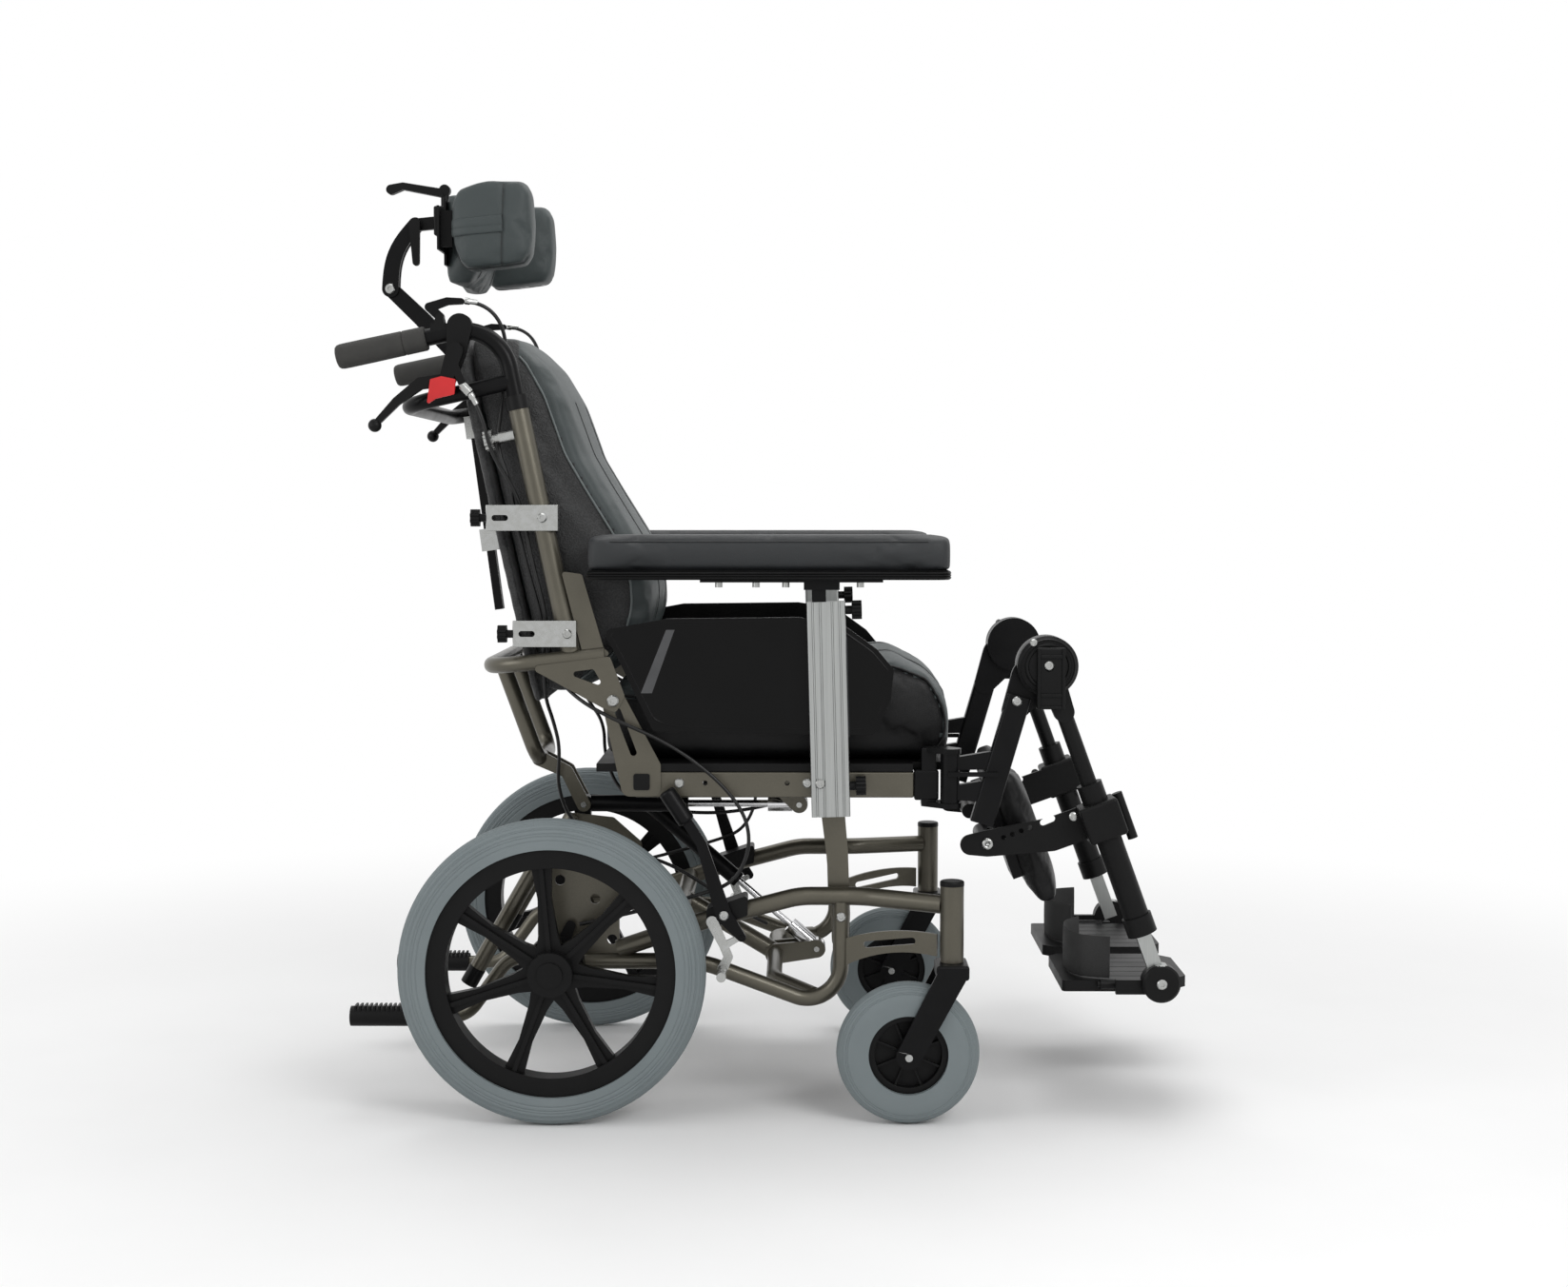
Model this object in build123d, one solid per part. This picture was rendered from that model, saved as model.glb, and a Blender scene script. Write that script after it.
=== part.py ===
from build123d import *
import math
import os

# A tilt-in-space wheelchair at its real size, in millimetres. +X is forward, +Y is the
# chair's left and the floor is z = 0. One side is drawn at negative y, the chair's right,
# and mirrored for the other. Each assembly is drawn from the pivot that carries it: the
# base from the rear axle, the seat from the tilt pivot, the back from the recline pivot
# and a legrest from its knee.

# Wheels
rear_wheel_radius = 207.5
rear_tyre_width = 44.0
rear_rim_radius = 168.0
rear_window_radius = 142.0
rear_hub_radius = 30.0
rear_hub_half_length = 27.0
rear_wheel_y = 280.0
spoke_count = 7
first_spoke_angle = 95.0
axle_radius = 8.0
castor_radius = 96.5
castor_tyre_width = 45.0
castor_rim_radius = 54.0
castor_hub_radius = 17.0
castor_spoke_count = 8
castor_y = 272.0
castor_trail = 58.5
castor_axle_radius = 5.0

# Clearances
running_fit = 0.05
soft_gap = 0.3
play = 1.0
seat_gap = 0.3

# Places of the main axes
axle_x = -282.0
axle_z = rear_wheel_radius
stem_x = axle_x + 537.0
tilt_x = axle_x + 374.0
tilt_z = axle_z + 244.5
recline_x = tilt_x - 294.0
recline_z = tilt_z + 116.0
swing_x = tilt_x + 162.0
swing_z = tilt_z - 25.0
swing_y = 235.0
knee_x = swing_x + 130.0
knee_z = tilt_z + 164.0

# Base frame
side_y = 218.0
side_tube_radius = 12.5
lower_tube_radius = 11.0
head_tube_radius = 16.0
head_tube_length = 103.0
head_tube_bottom = 12.5
stem_radius = 9.0
plate_thickness = 4.0
upright_thickness = 8.0
upright_y = 196.0
cross_tube_radius = 12.5
tipping_tube_radius = 9.5
tipping_tube_y = 180.0
tipping_grip_radius = 14.0

# Seat
rail_inner = 205.0
rail_width = 20.0
rail_height = 35.0
rail_back = -265.0
rail_front = 114.0
rail_drop = 0.5
rail_outer = rail_inner + rail_width
seat_cross_radius = 12.7
tilt_pin_radius = 6.0
board_thickness = 11.0
cushion_half_width = 197.0
cushion_corner = 16.0
hinge_plate_thickness = 4.0
panel_thickness = 4.0
post_inner = rail_outer + 6.0
post_depth = 26.0
post_width = 52.0
post_height = 290.0
stem_side = 19.0
stem_y = post_inner + post_depth / 2
armrest_pad_length = 487.0
armrest_pad_width = 80.0
armrest_foam = 47.0
armrest_bumper = 12.0
accessory_hole_radius = 3.5
accessory_hole_spacing = 111.5

# Struts under the seat
tilt_strut_y = 30.0
recline_strut_y = -40.0
strut_pin_radius = 4.0
strut_eye_radius = 13.0
strut_rod_radius = 5.0
strut_cylinder_radius = 12.0
open_eye_clearance = 4.0
strut_cap = 22.0
strut_end_gap = 6.0
tilt_strut_cylinder_length = 200.0
tilt_strut_travel = 86.0
tilt_strut_block = 52.0
recline_strut_cylinder_length = 150.0
recline_strut_travel = 92.0
recline_strut_block = 45.0
bracket_half_gap = 12.0

# Back
cane_y = 215.0
cane_radius = 14.0
cane_length = 335.0
cane_lean = 11.9
handle_tube_radius = 11.5
hoop_radius = 11.0
hoop_y = 222.0
back_half_width = 194.0
shell_thickness = 13.0
gusset_thickness = 4.0
cross_bow_radius = 11.0
grip_radius = 17.0
grip_length = 124.0
grip_start = 100.0
grip_end_wall = 6.0

# Headrest
head_bar_half_width = 9.0
head_bar_depth = 20.0

# Legrests
hanger_width = 32.0
hanger_depth = 20.0
hanger_inner = 226.0
knee_radius = 41.0
leg_angle = 20.0
leg_y = 235.0
leg_tube_radius = 11.0
leg_length = 459.0
foot_bar_top = 230.0
foot_retract = 40.0
sleeve_radius = 17.5
foot_bar_width = 20.0
foot_bar_depth = 14.0
foot_disc_radius = 26.0
footplate_thickness = 15.0
footplate_inner = 25.0
footplate_outer = 206.0
footplate_hinge_y = 214.0
footplate_hinge_radius = 7.0
calf_plate_thickness = 5.0
calf_pin_radius = 5.0

bolt_head_radius = 6.5
bolt_head_height = 4.5
cable_radius = 2.6


# ------------------------------------------------------------------ small tools

def from_axle(x, z):
    return (axle_x + x, axle_z + z)


def from_tilt(x, z):
    return (tilt_x + x, tilt_z + z)


def from_recline(x, z):
    return (recline_x + x, recline_z + z)


def from_knee(x, z):
    return (knee_x + x, knee_z + z)


def at(point, y):
    """The (x, z) point as a point in space at this y."""
    return (point[0], y, point[1])


def side_plane(inner):
    """A plane facing out of the chair's right side, at this distance from the middle."""
    return Plane(origin=(0, -inner, 0), x_dir=(1, 0, 0), z_dir=(0, -1, 0))


def plate(outline, inner, outer, corner=0.0):
    """A flat plate standing fore and aft on the right, from inner to outer."""
    face = Polygon(*outline, align=None)
    if corner:
        face = fillet(face.vertices(), corner)
    return extrude(side_plane(inner) * face, outer - inner, dir=(0, -1, 0))


def strip(stations, inner, outer):
    """A flat link whose edge wraps circles of (point, radius), one pair after another."""
    face = None
    for (start, start_radius), (end, end_radius) in zip(stations, stations[1:]):
        circles = Pos(*start) * Circle(start_radius) + Pos(*end) * Circle(end_radius)
        part = make_hull(circles.edges())
        face = part if face is None else face + part
    return extrude(side_plane(inner) * face, outer - inner, dir=(0, -1, 0))


def pin(point, radius, inner, outer):
    """A round bar across the chair on the right side."""
    return extrude(side_plane(inner) * Pos(*point) * Circle(radius), outer - inner)


def rod(start, end, radius, bore=0.0):
    """A straight round bar or tube between two points."""
    run = Vector(*end) - Vector(*start)
    face = Circle(radius)
    if bore:
        face -= Circle(bore)
    return extrude(Plane(origin=start, z_dir=run) * face, run.length)


def bent_tube(points, radius, bends):
    """A round tube along straight runs joined by arcs, with one bend radius a corner."""
    path = FilletPolyline(*points, radius=bends)
    return sweep(Plane(origin=path @ 0, z_dir=path % 0) * Circle(radius), path=path)


def block(xs, ys, zs, edge=0.0):
    """A box between two x, two y and two z values, with its edges rounded."""
    size = (xs[1] - xs[0], ys[1] - ys[0], zs[1] - zs[0])
    box = Pos((xs[0] + xs[1]) / 2, (ys[0] + ys[1]) / 2, (zs[0] + zs[1]) / 2) * Box(*size)
    if edge:
        box = fillet(box.edges(), edge)
    return box


def bolt(point, inner, radius=bolt_head_radius, height=bolt_head_height):
    """A domed socket screw head standing on a plate's outer face."""
    head = pin(point, radius, inner, inner + height)
    head = chamfer(head.faces().sort_by(Axis.Y)[0].edges(), height * 0.35)
    socket = side_plane(inner + height * 0.4) * Pos(*point) * RegularPolygon(radius * 0.5, 6)
    return head - extrude(socket, height)


def knob(centre, direction, radius, height):
    """A star knob: a round with eight hollows, on a short neck."""
    plane = Plane(origin=centre, z_dir=direction)
    face = Circle(radius)
    for turn in range(8):
        face -= Rot(0, 0, turn * 45) * Pos(radius * 1.12, 0) * Circle(radius * 0.3)
    neck = extrude(plane * Circle(radius * 0.45), height)
    return neck + extrude(plane.offset(height * 0.4) * face, height * 0.6)


def mirrored(shape):
    return mirror(shape, about=Plane.XZ)


def both(shapes):
    """The shapes of the right side with their mirror images on the left."""
    return list(shapes) + [mirrored(shape) for shape in shapes]


def solids_of(shapes):
    found = []
    for shape in shapes:
        found += shape.solids()
    return found


def write(name, shapes):
    pieces = solids_of(shapes)
    shape = pieces[0] if len(pieces) == 1 else Compound(children=pieces)
    export_step(shape, "parts/" + name + ".step")


def write_pair(name, shapes):
    """One node for the right side and its mirror image for the left."""
    write(name + "_right", shapes)
    write(name + "_left", [mirrored(shape) for shape in shapes])


def rounded_section(plane, half_width, low, high, corner, crown, side):
    """A padded section: crowned top, arced sides and round corners, in eight edges."""
    k = corner * (1 - math.sqrt(0.5))
    w = half_width
    mid = (low + high) / 2
    edges = [
        Line((-w + corner, low), (w - corner, low)),
        ThreePointArc((w - corner, low), (w - k, low + k), (w, low + corner)),
        ThreePointArc((w, low + corner), (w + side, mid), (w, high - corner)),
        ThreePointArc((w, high - corner), (w - k, high - k), (w - corner, high)),
        ThreePointArc((w - corner, high), (0, high + crown), (-w + corner, high)),
        ThreePointArc((-w + corner, high), (-w + k, high - k), (-w, high - corner)),
        ThreePointArc((-w, high - corner), (-w - side, mid), (-w, low + corner)),
        ThreePointArc((-w, low + corner), (-w + k, low + k), (-w + corner, low)),
    ]
    return plane * make_face(Wire(edges))


def across(x):
    """A plane square to the chair's length, with y across it and z up it."""
    return Plane(origin=(x, 0, 0), x_dir=(0, 1, 0), z_dir=(1, 0, 0))


# ------------------------------------------------------------------ wheels

def on_axle(solid, point, y):
    """Turns a wheel drawn about Z onto an axle across the chair's right side."""
    return Pos(point[0], -y, point[1]) * Rot(90, 0, 0) * solid


def tyre(outer, inner, width, shoulder):
    section = Pos((outer + inner) / 2, 0) * RectangleRounded(outer - inner, width, shoulder)
    return revolve(Plane.XZ * section, Axis.Z)


def ring(outer, inner, half_width):
    return extrude(Circle(outer) - Circle(inner), half_width, both=True)


def rear_rim():
    """Moulded rim: ring, hub and seven ribbed spokes."""
    rim = ring(rear_rim_radius - running_fit, rear_window_radius, 16)
    hub = ring(rear_hub_radius, axle_radius + running_fit, rear_hub_half_length)
    spoke = Polygon((24, -19), (50, -13), (100, -9), (146, -14),
                    (146, 14), (100, 9), (50, 13), (24, 19), align=None)
    rib = Polygon((28, -3), (150, -3), (150, 3), (28, 3), align=None)
    arm = extrude(spoke, 7, both=True) + extrude(rib, 13, both=True)
    for turn in range(spoke_count):
        rim += Rot(0, 0, first_spoke_angle + turn * 360 / spoke_count) * arm
    cap = extrude(Plane.XY.offset(rear_hub_half_length) * Circle(rear_hub_radius * 0.57), 3)
    hollow = extrude(Plane.XY.offset(-30) * Circle(axle_radius + running_fit), 56)
    return rim + hub + cap - hollow


def castor_rim():
    rim = ring(castor_rim_radius - running_fit, castor_rim_radius - 9, 15)
    hub = ring(castor_hub_radius, castor_axle_radius + running_fit, castor_tyre_width / 2)
    web = ring(castor_rim_radius - 8, castor_hub_radius - 1, 2.5)
    rib = Pos((castor_rim_radius + castor_hub_radius) / 2 - 5, 0, 0) * Box(
        castor_rim_radius - castor_hub_radius - 2, 3, 22)
    for turn in range(castor_spoke_count):
        web += Rot(0, 0, 22.5 + turn * 360 / castor_spoke_count) * rib
    hollow = extrude(Circle(castor_axle_radius + running_fit), 40, both=True)
    return rim + hub + web - hollow


castor_axle_x = stem_x - castor_trail
castor_point = (castor_axle_x, castor_radius)
rear_point = (axle_x, axle_z)
head_bottom = axle_z + head_tube_bottom
fork_half_gap = castor_tyre_width / 2 + 2.5
fork_leg = 5.5


def castor_fork():
    """Crown, two legs and the stem that turns in the head tube."""
    crown_top = head_bottom - 0.5
    crown_low = crown_top - 20
    outer = fork_half_gap + fork_leg
    crown = block((stem_x - 22, stem_x + 22), (-castor_y - outer, -castor_y + outer),
                  (crown_low, crown_top), 4)
    leg = make_hull((Pos(*castor_point) * Circle(17)
                     + Pos(stem_x - 12, crown_low + 8) * Circle(9)
                     + Pos(stem_x + 11, crown_low + 8) * Circle(9)).edges())
    legs = []
    for inner in (castor_y - outer, castor_y + fork_half_gap):
        legs.append(extrude(side_plane(inner) * leg, fork_leg))
    stem = rod((stem_x, -castor_y, crown_top - 5),
               (stem_x, -castor_y, head_bottom + head_tube_length - 8), stem_radius)
    fork = crown + legs[0] + legs[1] + stem
    bolt_bar = pin(castor_point, castor_axle_radius, castor_y - outer - 3, castor_y + outer + 4)
    return [fork - bolt_bar, bolt_bar]


def write_wheels():
    write_pair("rear_tyre", [on_axle(tyre(rear_wheel_radius, rear_rim_radius,
                                          rear_tyre_width, 17), rear_point, rear_wheel_y)])
    write_pair("rear_rim", [on_axle(rear_rim(), rear_point, rear_wheel_y)])
    write_pair("castor_tyre", [on_axle(tyre(castor_radius, castor_rim_radius,
                                            castor_tyre_width, 19), castor_point, castor_y)])
    write_pair("castor_rim", [on_axle(castor_rim(), castor_point, castor_y)])
    write_pair("castor_fork", castor_fork())


# ------------------------------------------------------------------ base

upper_front = from_axle(525, 88.5)
upper_flare = from_axle(417, 91.5)
upper_knee = from_axle(332, 91.5)
upper_low = from_axle(202, 57.5)
upper_end = from_axle(84, 18)
lower_top = from_axle(389, 84)
lower_corner = from_axle(389, -70)
lower_rise = from_axle(197, 1.5)
lower_end = from_axle(0, 1.5)
upright_foot = from_axle(389, 64.5)


def side_frame():
    """One welded side: two tubes, head tube, arched arm, axle plate and rear tube."""
    head_y = castor_y - head_tube_radius * 0.4
    upper = bent_tube([at(upper_front, -head_y), at(upper_flare, -side_y),
                       at(upper_knee, -side_y), at(upper_low, -side_y),
                       at(upper_end, -side_y)], side_tube_radius, [90, 120, 400])
    lower = bent_tube([at(lower_top, -side_y), at(lower_corner, -side_y),
                       at(lower_rise, -side_y), at(lower_end, -side_y)],
                      lower_tube_radius, [46, 160])
    head = rod((stem_x, -castor_y, head_bottom),
               (stem_x, -castor_y, head_bottom + head_tube_length), head_tube_radius)
    arm_start = from_axle(393, 14)
    arm_end = (stem_x - 10, axle_z + 34)
    rise = 10.0
    half = 19.0
    middle = ((arm_start[0] + arm_end[0]) / 2, (arm_start[1] + arm_end[1]) / 2 + rise)
    arm_face = make_face(Wire([
        Line((arm_start[0], arm_start[1] - half), (arm_start[0], arm_start[1] + half)),
        ThreePointArc((arm_start[0], arm_start[1] + half), (middle[0], middle[1] + 15),
                      (arm_end[0], arm_end[1] + 15)),
        Line((arm_end[0], arm_end[1] + 15), (arm_end[0], arm_end[1] - 15)),
        ThreePointArc((arm_end[0], arm_end[1] - 15), (middle[0], middle[1] - 15),
                      (arm_start[0], arm_start[1] - half)),
    ]))
    slot_run = SlotCenterToCenter(66, 9)
    slot_tilt = math.degrees(math.atan2(arm_end[1] - arm_start[1], arm_end[0] - arm_start[0]))
    arm_face -= Pos(middle[0], middle[1] - 1) * Rot(0, 0, slot_tilt) * slot_run
    flare = math.degrees(math.atan2(castor_y - side_y, stem_x - arm_start[0]))
    arm = extrude(arm_face, 5)
    # the arm stands on a vertical plane that turns out from the side tube to the head tube
    arm = Pos(arm_start[0], -side_y - 2, 0) * Rot(0, 0, -flare) * Rot(90, 0, 0) * Pos(
        -arm_start[0], 0, 0) * arm
    axle_plate = plate([from_axle(-30, 145), from_axle(42, 137), from_axle(86, 98),
                        from_axle(86, 8), from_axle(-20, -8)],
                       side_y - plate_thickness, side_y, 9)
    for hole in (from_axle(5, 113), from_axle(53, 87), from_axle(76, 31)):
        axle_plate -= pin(hole, 7, side_y - 10, side_y + 10)
    diagonal = rod(at(from_axle(-22, 143), 11 - side_y), at(from_axle(-110, -10), 11 - side_y), 11)
    frame = upper + lower + head + arm + axle_plate + diagonal
    frame -= rod((stem_x, -castor_y, head_bottom - 5),
                 (stem_x, -castor_y, head_bottom + head_tube_length + 5),
                 stem_radius + running_fit)
    frame -= pin(rear_point, axle_radius, side_y - 40, side_y + 40)
    return frame


cross_bow_point = from_axle(297, -37)
mid_cross_point = from_axle(162, 44.5)
strut_foot = from_axle(358, -29.5)


def base_cross_tubes():
    """Tubes across the base, and the bracket of the tilt strut."""
    inner = side_y - side_tube_radius * 0.3
    axle_tube = rod((axle_x, -side_y + plate_thickness, axle_z),
                    (axle_x, side_y - plate_thickness, axle_z), cross_tube_radius)
    axle_tube -= rod((axle_x, -side_y, axle_z), (axle_x, side_y, axle_z), axle_radius)
    bow_end = from_axle(352, -46)
    bow = bent_tube([at(bow_end, -inner), at(cross_bow_point, -150),
                     at(cross_bow_point, 150), at(bow_end, inner)], lower_tube_radius, [45, 45])
    mid = rod(at(mid_cross_point, -inner), at(mid_cross_point, inner), cross_tube_radius)
    spine = rod(at(mid_cross_point, tilt_strut_y), at(cross_bow_point, tilt_strut_y), 13)
    bracket = None
    for gap in (-bracket_half_gap - 5, bracket_half_gap):
        y = -tilt_strut_y + gap
        cheek = strip([(cross_bow_point, 15), (strut_foot, 13)], y, y + 5)
        bracket = cheek if bracket is None else bracket + cheek
    frame = mid + spine + bow + bracket
    side = mirrored(side_frame()) + side_frame()
    frame = frame + axle_tube
    frame -= pin(strut_foot, strut_pin_radius, -tilt_strut_y - 40, -tilt_strut_y + 40)
    return side, frame


def tipping_lever():
    """A tube from the axle beam that ends in a ribbed tread to step on."""
    path = bent_tube([(axle_x - cross_tube_radius + 2, -tipping_tube_y, axle_z),
                      (axle_x - 70, -tipping_tube_y, axle_z - 2),
                      (axle_x - 130, -tipping_tube_y, axle_z - 84.5),
                      (axle_x - 286, -tipping_tube_y, axle_z - 84.5)],
                     tipping_tube_radius, [40, 40])
    return path


def tread():
    """Ribbed rubber sleeve on the tipping lever."""
    start = axle_x - 291
    end = axle_x - 180
    z = axle_z - 84.5
    grip = rod((start, -tipping_tube_y, z), (end, -tipping_tube_y, z), tipping_grip_radius)
    for rib in range(16):
        x = start + 6 + rib * 6.6
        grip += block((x, x + 3), (-tipping_tube_y - 11, -tipping_tube_y + 11), (z, z + 16))
    core = rod((start + 5, -tipping_tube_y, z), (end + 5, -tipping_tube_y, z),
               tipping_tube_radius)
    return grip - core


def head_cap():
    top = head_bottom + head_tube_length
    cap = rod((stem_x, -castor_y, top), (stem_x, -castor_y, top + 7), head_tube_radius + 0.4)
    return fillet(cap.faces().sort_by(Axis.Z)[-1].edges(), 3)


def diagonal_plug():
    start = Vector(*at(from_axle(-110, -10), 11 - side_y))
    along = (start - Vector(*at(from_axle(-22, 143), 11 - side_y))).normalized()
    return rod(tuple(start), tuple(start + along * 26), 11.8)


def upright():
    """Flat bar from the base tube up to the tilt hinge."""
    bar = strip([((tilt_x, tilt_z), 17), (from_axle(384, 150), 15), (upright_foot, 13),
                 (from_axle(389, 28), 12)], upright_y, upright_y + upright_thickness)
    bar -= pin((tilt_x, tilt_z), tilt_pin_radius + running_fit, upright_y - 5, upright_y + 40)
    spacer = pin(upright_foot, 9, upright_y + upright_thickness, side_y - lower_tube_radius + 1)
    return bar + spacer


brake_pivot = from_axle(230, 70.5)
shoe_pivot = from_axle(214, 60.5)
shoe_pin = from_axle(228, -3.5)
lever_end = from_axle(254, 40.5)
brake_block_outer = 240.0
shoe_layer = (brake_block_outer + 0.5, brake_block_outer + 5.5)
lever_layer = (brake_block_outer + 6.5, brake_block_outer + 11.5)


def brake_clamp():
    """Plastic block clamped round the upper tube, that carries the parking brake."""
    body = plate([from_axle(206, 77), from_axle(206, 50), from_axle(262, 68),
                  from_axle(262, 96)], side_y - 17, brake_block_outer, 4)
    tube = bent_tube([at(upper_front, -castor_y), at(upper_flare, -side_y),
                      at(upper_knee, -side_y), at(upper_low, -side_y),
                      at(upper_end, -side_y)], side_tube_radius + 0.02, [90, 120, 400])
    return body - tube


def drum_plate():
    """Backing plate of the drum brake beside the hub, with its spacer on the axle."""
    spacer = pin(rear_point, 14, side_y, rear_wheel_y - rear_hub_half_length - 0.3)
    disc = pin(rear_point, 40, side_y + 8, rear_wheel_y - rear_hub_half_length - 1.5)
    arm = strip([(from_axle(20, 52), 7), (from_axle(6, 20), 9)], side_y + 9, side_y + 12)
    body = spacer + disc + arm
    bore = pin(rear_point, axle_radius, side_y - 5, rear_wheel_y)
    tube = rod(at(lower_rise, -side_y), at(lower_end, -side_y), lower_tube_radius + soft_gap)
    return body - bore - tube


def base_bolts():
    """Screws, axles and hinge pins fixed in the base."""
    shapes = []
    axle = pin(rear_point, axle_radius, side_y - 36, rear_wheel_y + rear_hub_half_length - 2)
    shapes.append(axle)
    pivot = pin((tilt_x, tilt_z), tilt_pin_radius, upright_y - 5, rail_outer + 4)
    shapes.append(pivot + pin((tilt_x, tilt_z), 10, upright_y - 5, upright_y))
    shapes.append(bolt(upright_foot, side_y + lower_tube_radius))
    pivot_shaft = pin(brake_pivot, 4, brake_block_outer, lever_layer[1])
    shapes.append(pivot_shaft + bolt(brake_pivot, lever_layer[1]))
    shoe_shaft = pin(shoe_pivot, 3, brake_block_outer, shoe_layer[1])
    shapes.append(shoe_shaft)
    return shapes


def write_base():
    sides, cross = base_cross_tubes()
    levers = both([tipping_lever()])
    frame = sides + cross + levers[0] + levers[1]
    write("base_frame", [frame])
    write("tilt_uprights", both([upright() - frame]))
    write("treads_and_plugs", both([tread(), head_cap(), diagonal_plug()]))
    strut_pin = pin(strut_foot, strut_pin_radius, -tilt_strut_y - bracket_half_gap - 7,
                    -tilt_strut_y + bracket_half_gap + 7)
    write("base_bolts", both(base_bolts()) + [strut_pin])
    write("brake_clamps", both([brake_clamp(), drum_plate()]))


# ------------------------------------------------------------------ parking brake

def brake_lever():
    """Cranked lever with a plastic grip."""
    blade = strip([(lever_end, 6), (brake_pivot, 11), (from_axle(200, 167.5), 7),
                   (from_axle(176, 205), 7)], *lever_layer)
    blade -= pin(brake_pivot, 4 + running_fit, lever_layer[0] - 5, lever_layer[1] + 5)
    low = Vector(*at(from_axle(181, 197), -(lever_layer[0] + 2.5)))
    high = Vector(*at(from_axle(152, 240), -(lever_layer[0] - 1)))
    grip = rod(tuple(low), tuple(high), 12)
    grip = fillet(grip.edges().filter_by(GeomType.CIRCLE), 5)
    link_pin = pin(lever_end, 2.5, lever_layer[1], lever_layer[1] + 2.5)
    return [blade + grip + link_pin]


def brake_shoe():
    """Curved arm with the knurled pin that presses on the tyre."""
    arm = strip([(shoe_pivot, 8), (from_axle(229, 29), 6), (from_axle(236, 12), 6),
                 (shoe_pin, 7)], *shoe_layer)
    link = strip([(from_axle(231, 28), 5), (from_axle(250, 38.5), 4)], *shoe_layer)
    roller = pin(shoe_pin, 6.5, shoe_layer[0], rear_wheel_y + rear_tyre_width / 2)
    body = arm + link + roller
    return [body - pin(shoe_pivot, 3 + running_fit, shoe_layer[0] - 5, shoe_layer[1] + 5)]


def write_parking_brakes():
    write_pair("brake_lever", brake_lever())
    write_pair("brake_shoe", brake_shoe())


# ------------------------------------------------------------------ seat

rail_low = tilt_z - rail_height / 2 + rail_drop
rail_top = rail_low + rail_height
board_low = rail_top + seat_gap
board_top = board_low + board_thickness
tilt_strut_head = from_tilt(-283, -43)
recline_strut_foot = from_tilt(-42, -50)
rear_cross = from_tilt(-236, -2)
front_cross = from_tilt(-90, -2)


def rail():
    beam = block((tilt_x + rail_back, tilt_x + rail_front), (-rail_outer, -rail_inner),
                 (rail_low, rail_top), 2.5)
    for x in (-58.5, -58.5 - accessory_hole_spacing):
        beam -= pin(from_tilt(x, 3), accessory_hole_radius, rail_inner - 5, rail_outer + 5)
    return beam - pin((tilt_x, tilt_z), tilt_pin_radius + running_fit, rail_inner - 5,
                      rail_outer + 5)


def strut_cheeks(start, start_radius, end, end_radius, y, thickness=5):
    """Two bracket plates either side of a strut's eye."""
    shape = None
    for inner in (-y - bracket_half_gap - thickness, -y + bracket_half_gap):
        cheek = strip([(start, start_radius), (end, end_radius)], inner, inner + thickness)
        shape = cheek if shape is None else shape + cheek
    return shape


def hinge_plate():
    """Slotted side plate that carries the recline pivot."""
    inner = rail_outer
    outer = inner + hinge_plate_thickness
    corners = [((recline_x, recline_z), 16), (from_tilt(-242, 26), 12),
               (from_tilt(-242, -3), 12), (from_tilt(-272, -3), 12)]
    circles = None
    for point, radius in corners:
        circle = Pos(*point) * Circle(radius)
        circles = circle if circles is None else circles + circle
    body = extrude(side_plane(inner) * make_hull(circles.edges()), outer - inner)
    slot_start = from_tilt(-288, 101)
    slot_end = from_tilt(-267, 45)
    body -= strip([(slot_start, 4.5), (slot_end, 4.5)], inner - 5, outer + 5)
    return body - pin((recline_x, recline_z), tilt_pin_radius + running_fit, inner - 5, outer + 5)


def write_seat_frame():
    rear_tube = rod(at(rear_cross, -rail_inner - 2), at(rear_cross, rail_inner + 2),
                    seat_cross_radius)
    front_tube = rod(at(front_cross, -rail_inner - 2), at(front_cross, rail_inner + 2),
                     seat_cross_radius)
    tilt_bracket = strut_cheeks(rear_cross, 14, tilt_strut_head, 12, tilt_strut_y)
    recline_bracket = strut_cheeks(front_cross, 14, recline_strut_foot, 12, recline_strut_y)
    frame = rail() + mirrored(rail()) + rear_tube + front_tube + tilt_bracket + recline_bracket
    frame -= pin(tilt_strut_head, strut_pin_radius, -80, 80)
    frame -= pin(recline_strut_foot, strut_pin_radius, -80, 80)
    write("seat_frame", [frame] + both([hinge_plate()]))


socket_front = swing_x - 14.5
lug_top = swing_z + 70
lug_low = swing_z + 3


def legrest_socket():
    """Black sleeve on the rail's front end with the two lugs of the swing-away hinge."""
    body = block((tilt_x + rail_front + 0.3, socket_front), (-rail_outer - 3, -rail_inner + 3),
                 (rail_low - 3, rail_top + 3), 3)
    lugs = None
    for low in (lug_low - 7, lug_top):
        lug_face = make_hull((Pos(swing_x, -swing_y) * Circle(15)
                              + Pos(swing_x - 12, -rail_outer + 8) * Circle(12)
                              + Pos(swing_x - 30, -rail_outer + 8) * Circle(8)).edges())
        lug = extrude(Plane.XY.offset(low) * lug_face, 7)
        lugs = lug if lugs is None else lugs + lug
    web = block((swing_x - 38, swing_x - 18), (-rail_outer - 2, -rail_inner + 2),
                (lug_low - 6, lug_top + 6), 1)
    pivot = rod((swing_x, -swing_y, lug_low - 6), (swing_x, -swing_y, lug_top + 6), 6)
    return body + lugs + web + pivot


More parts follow.
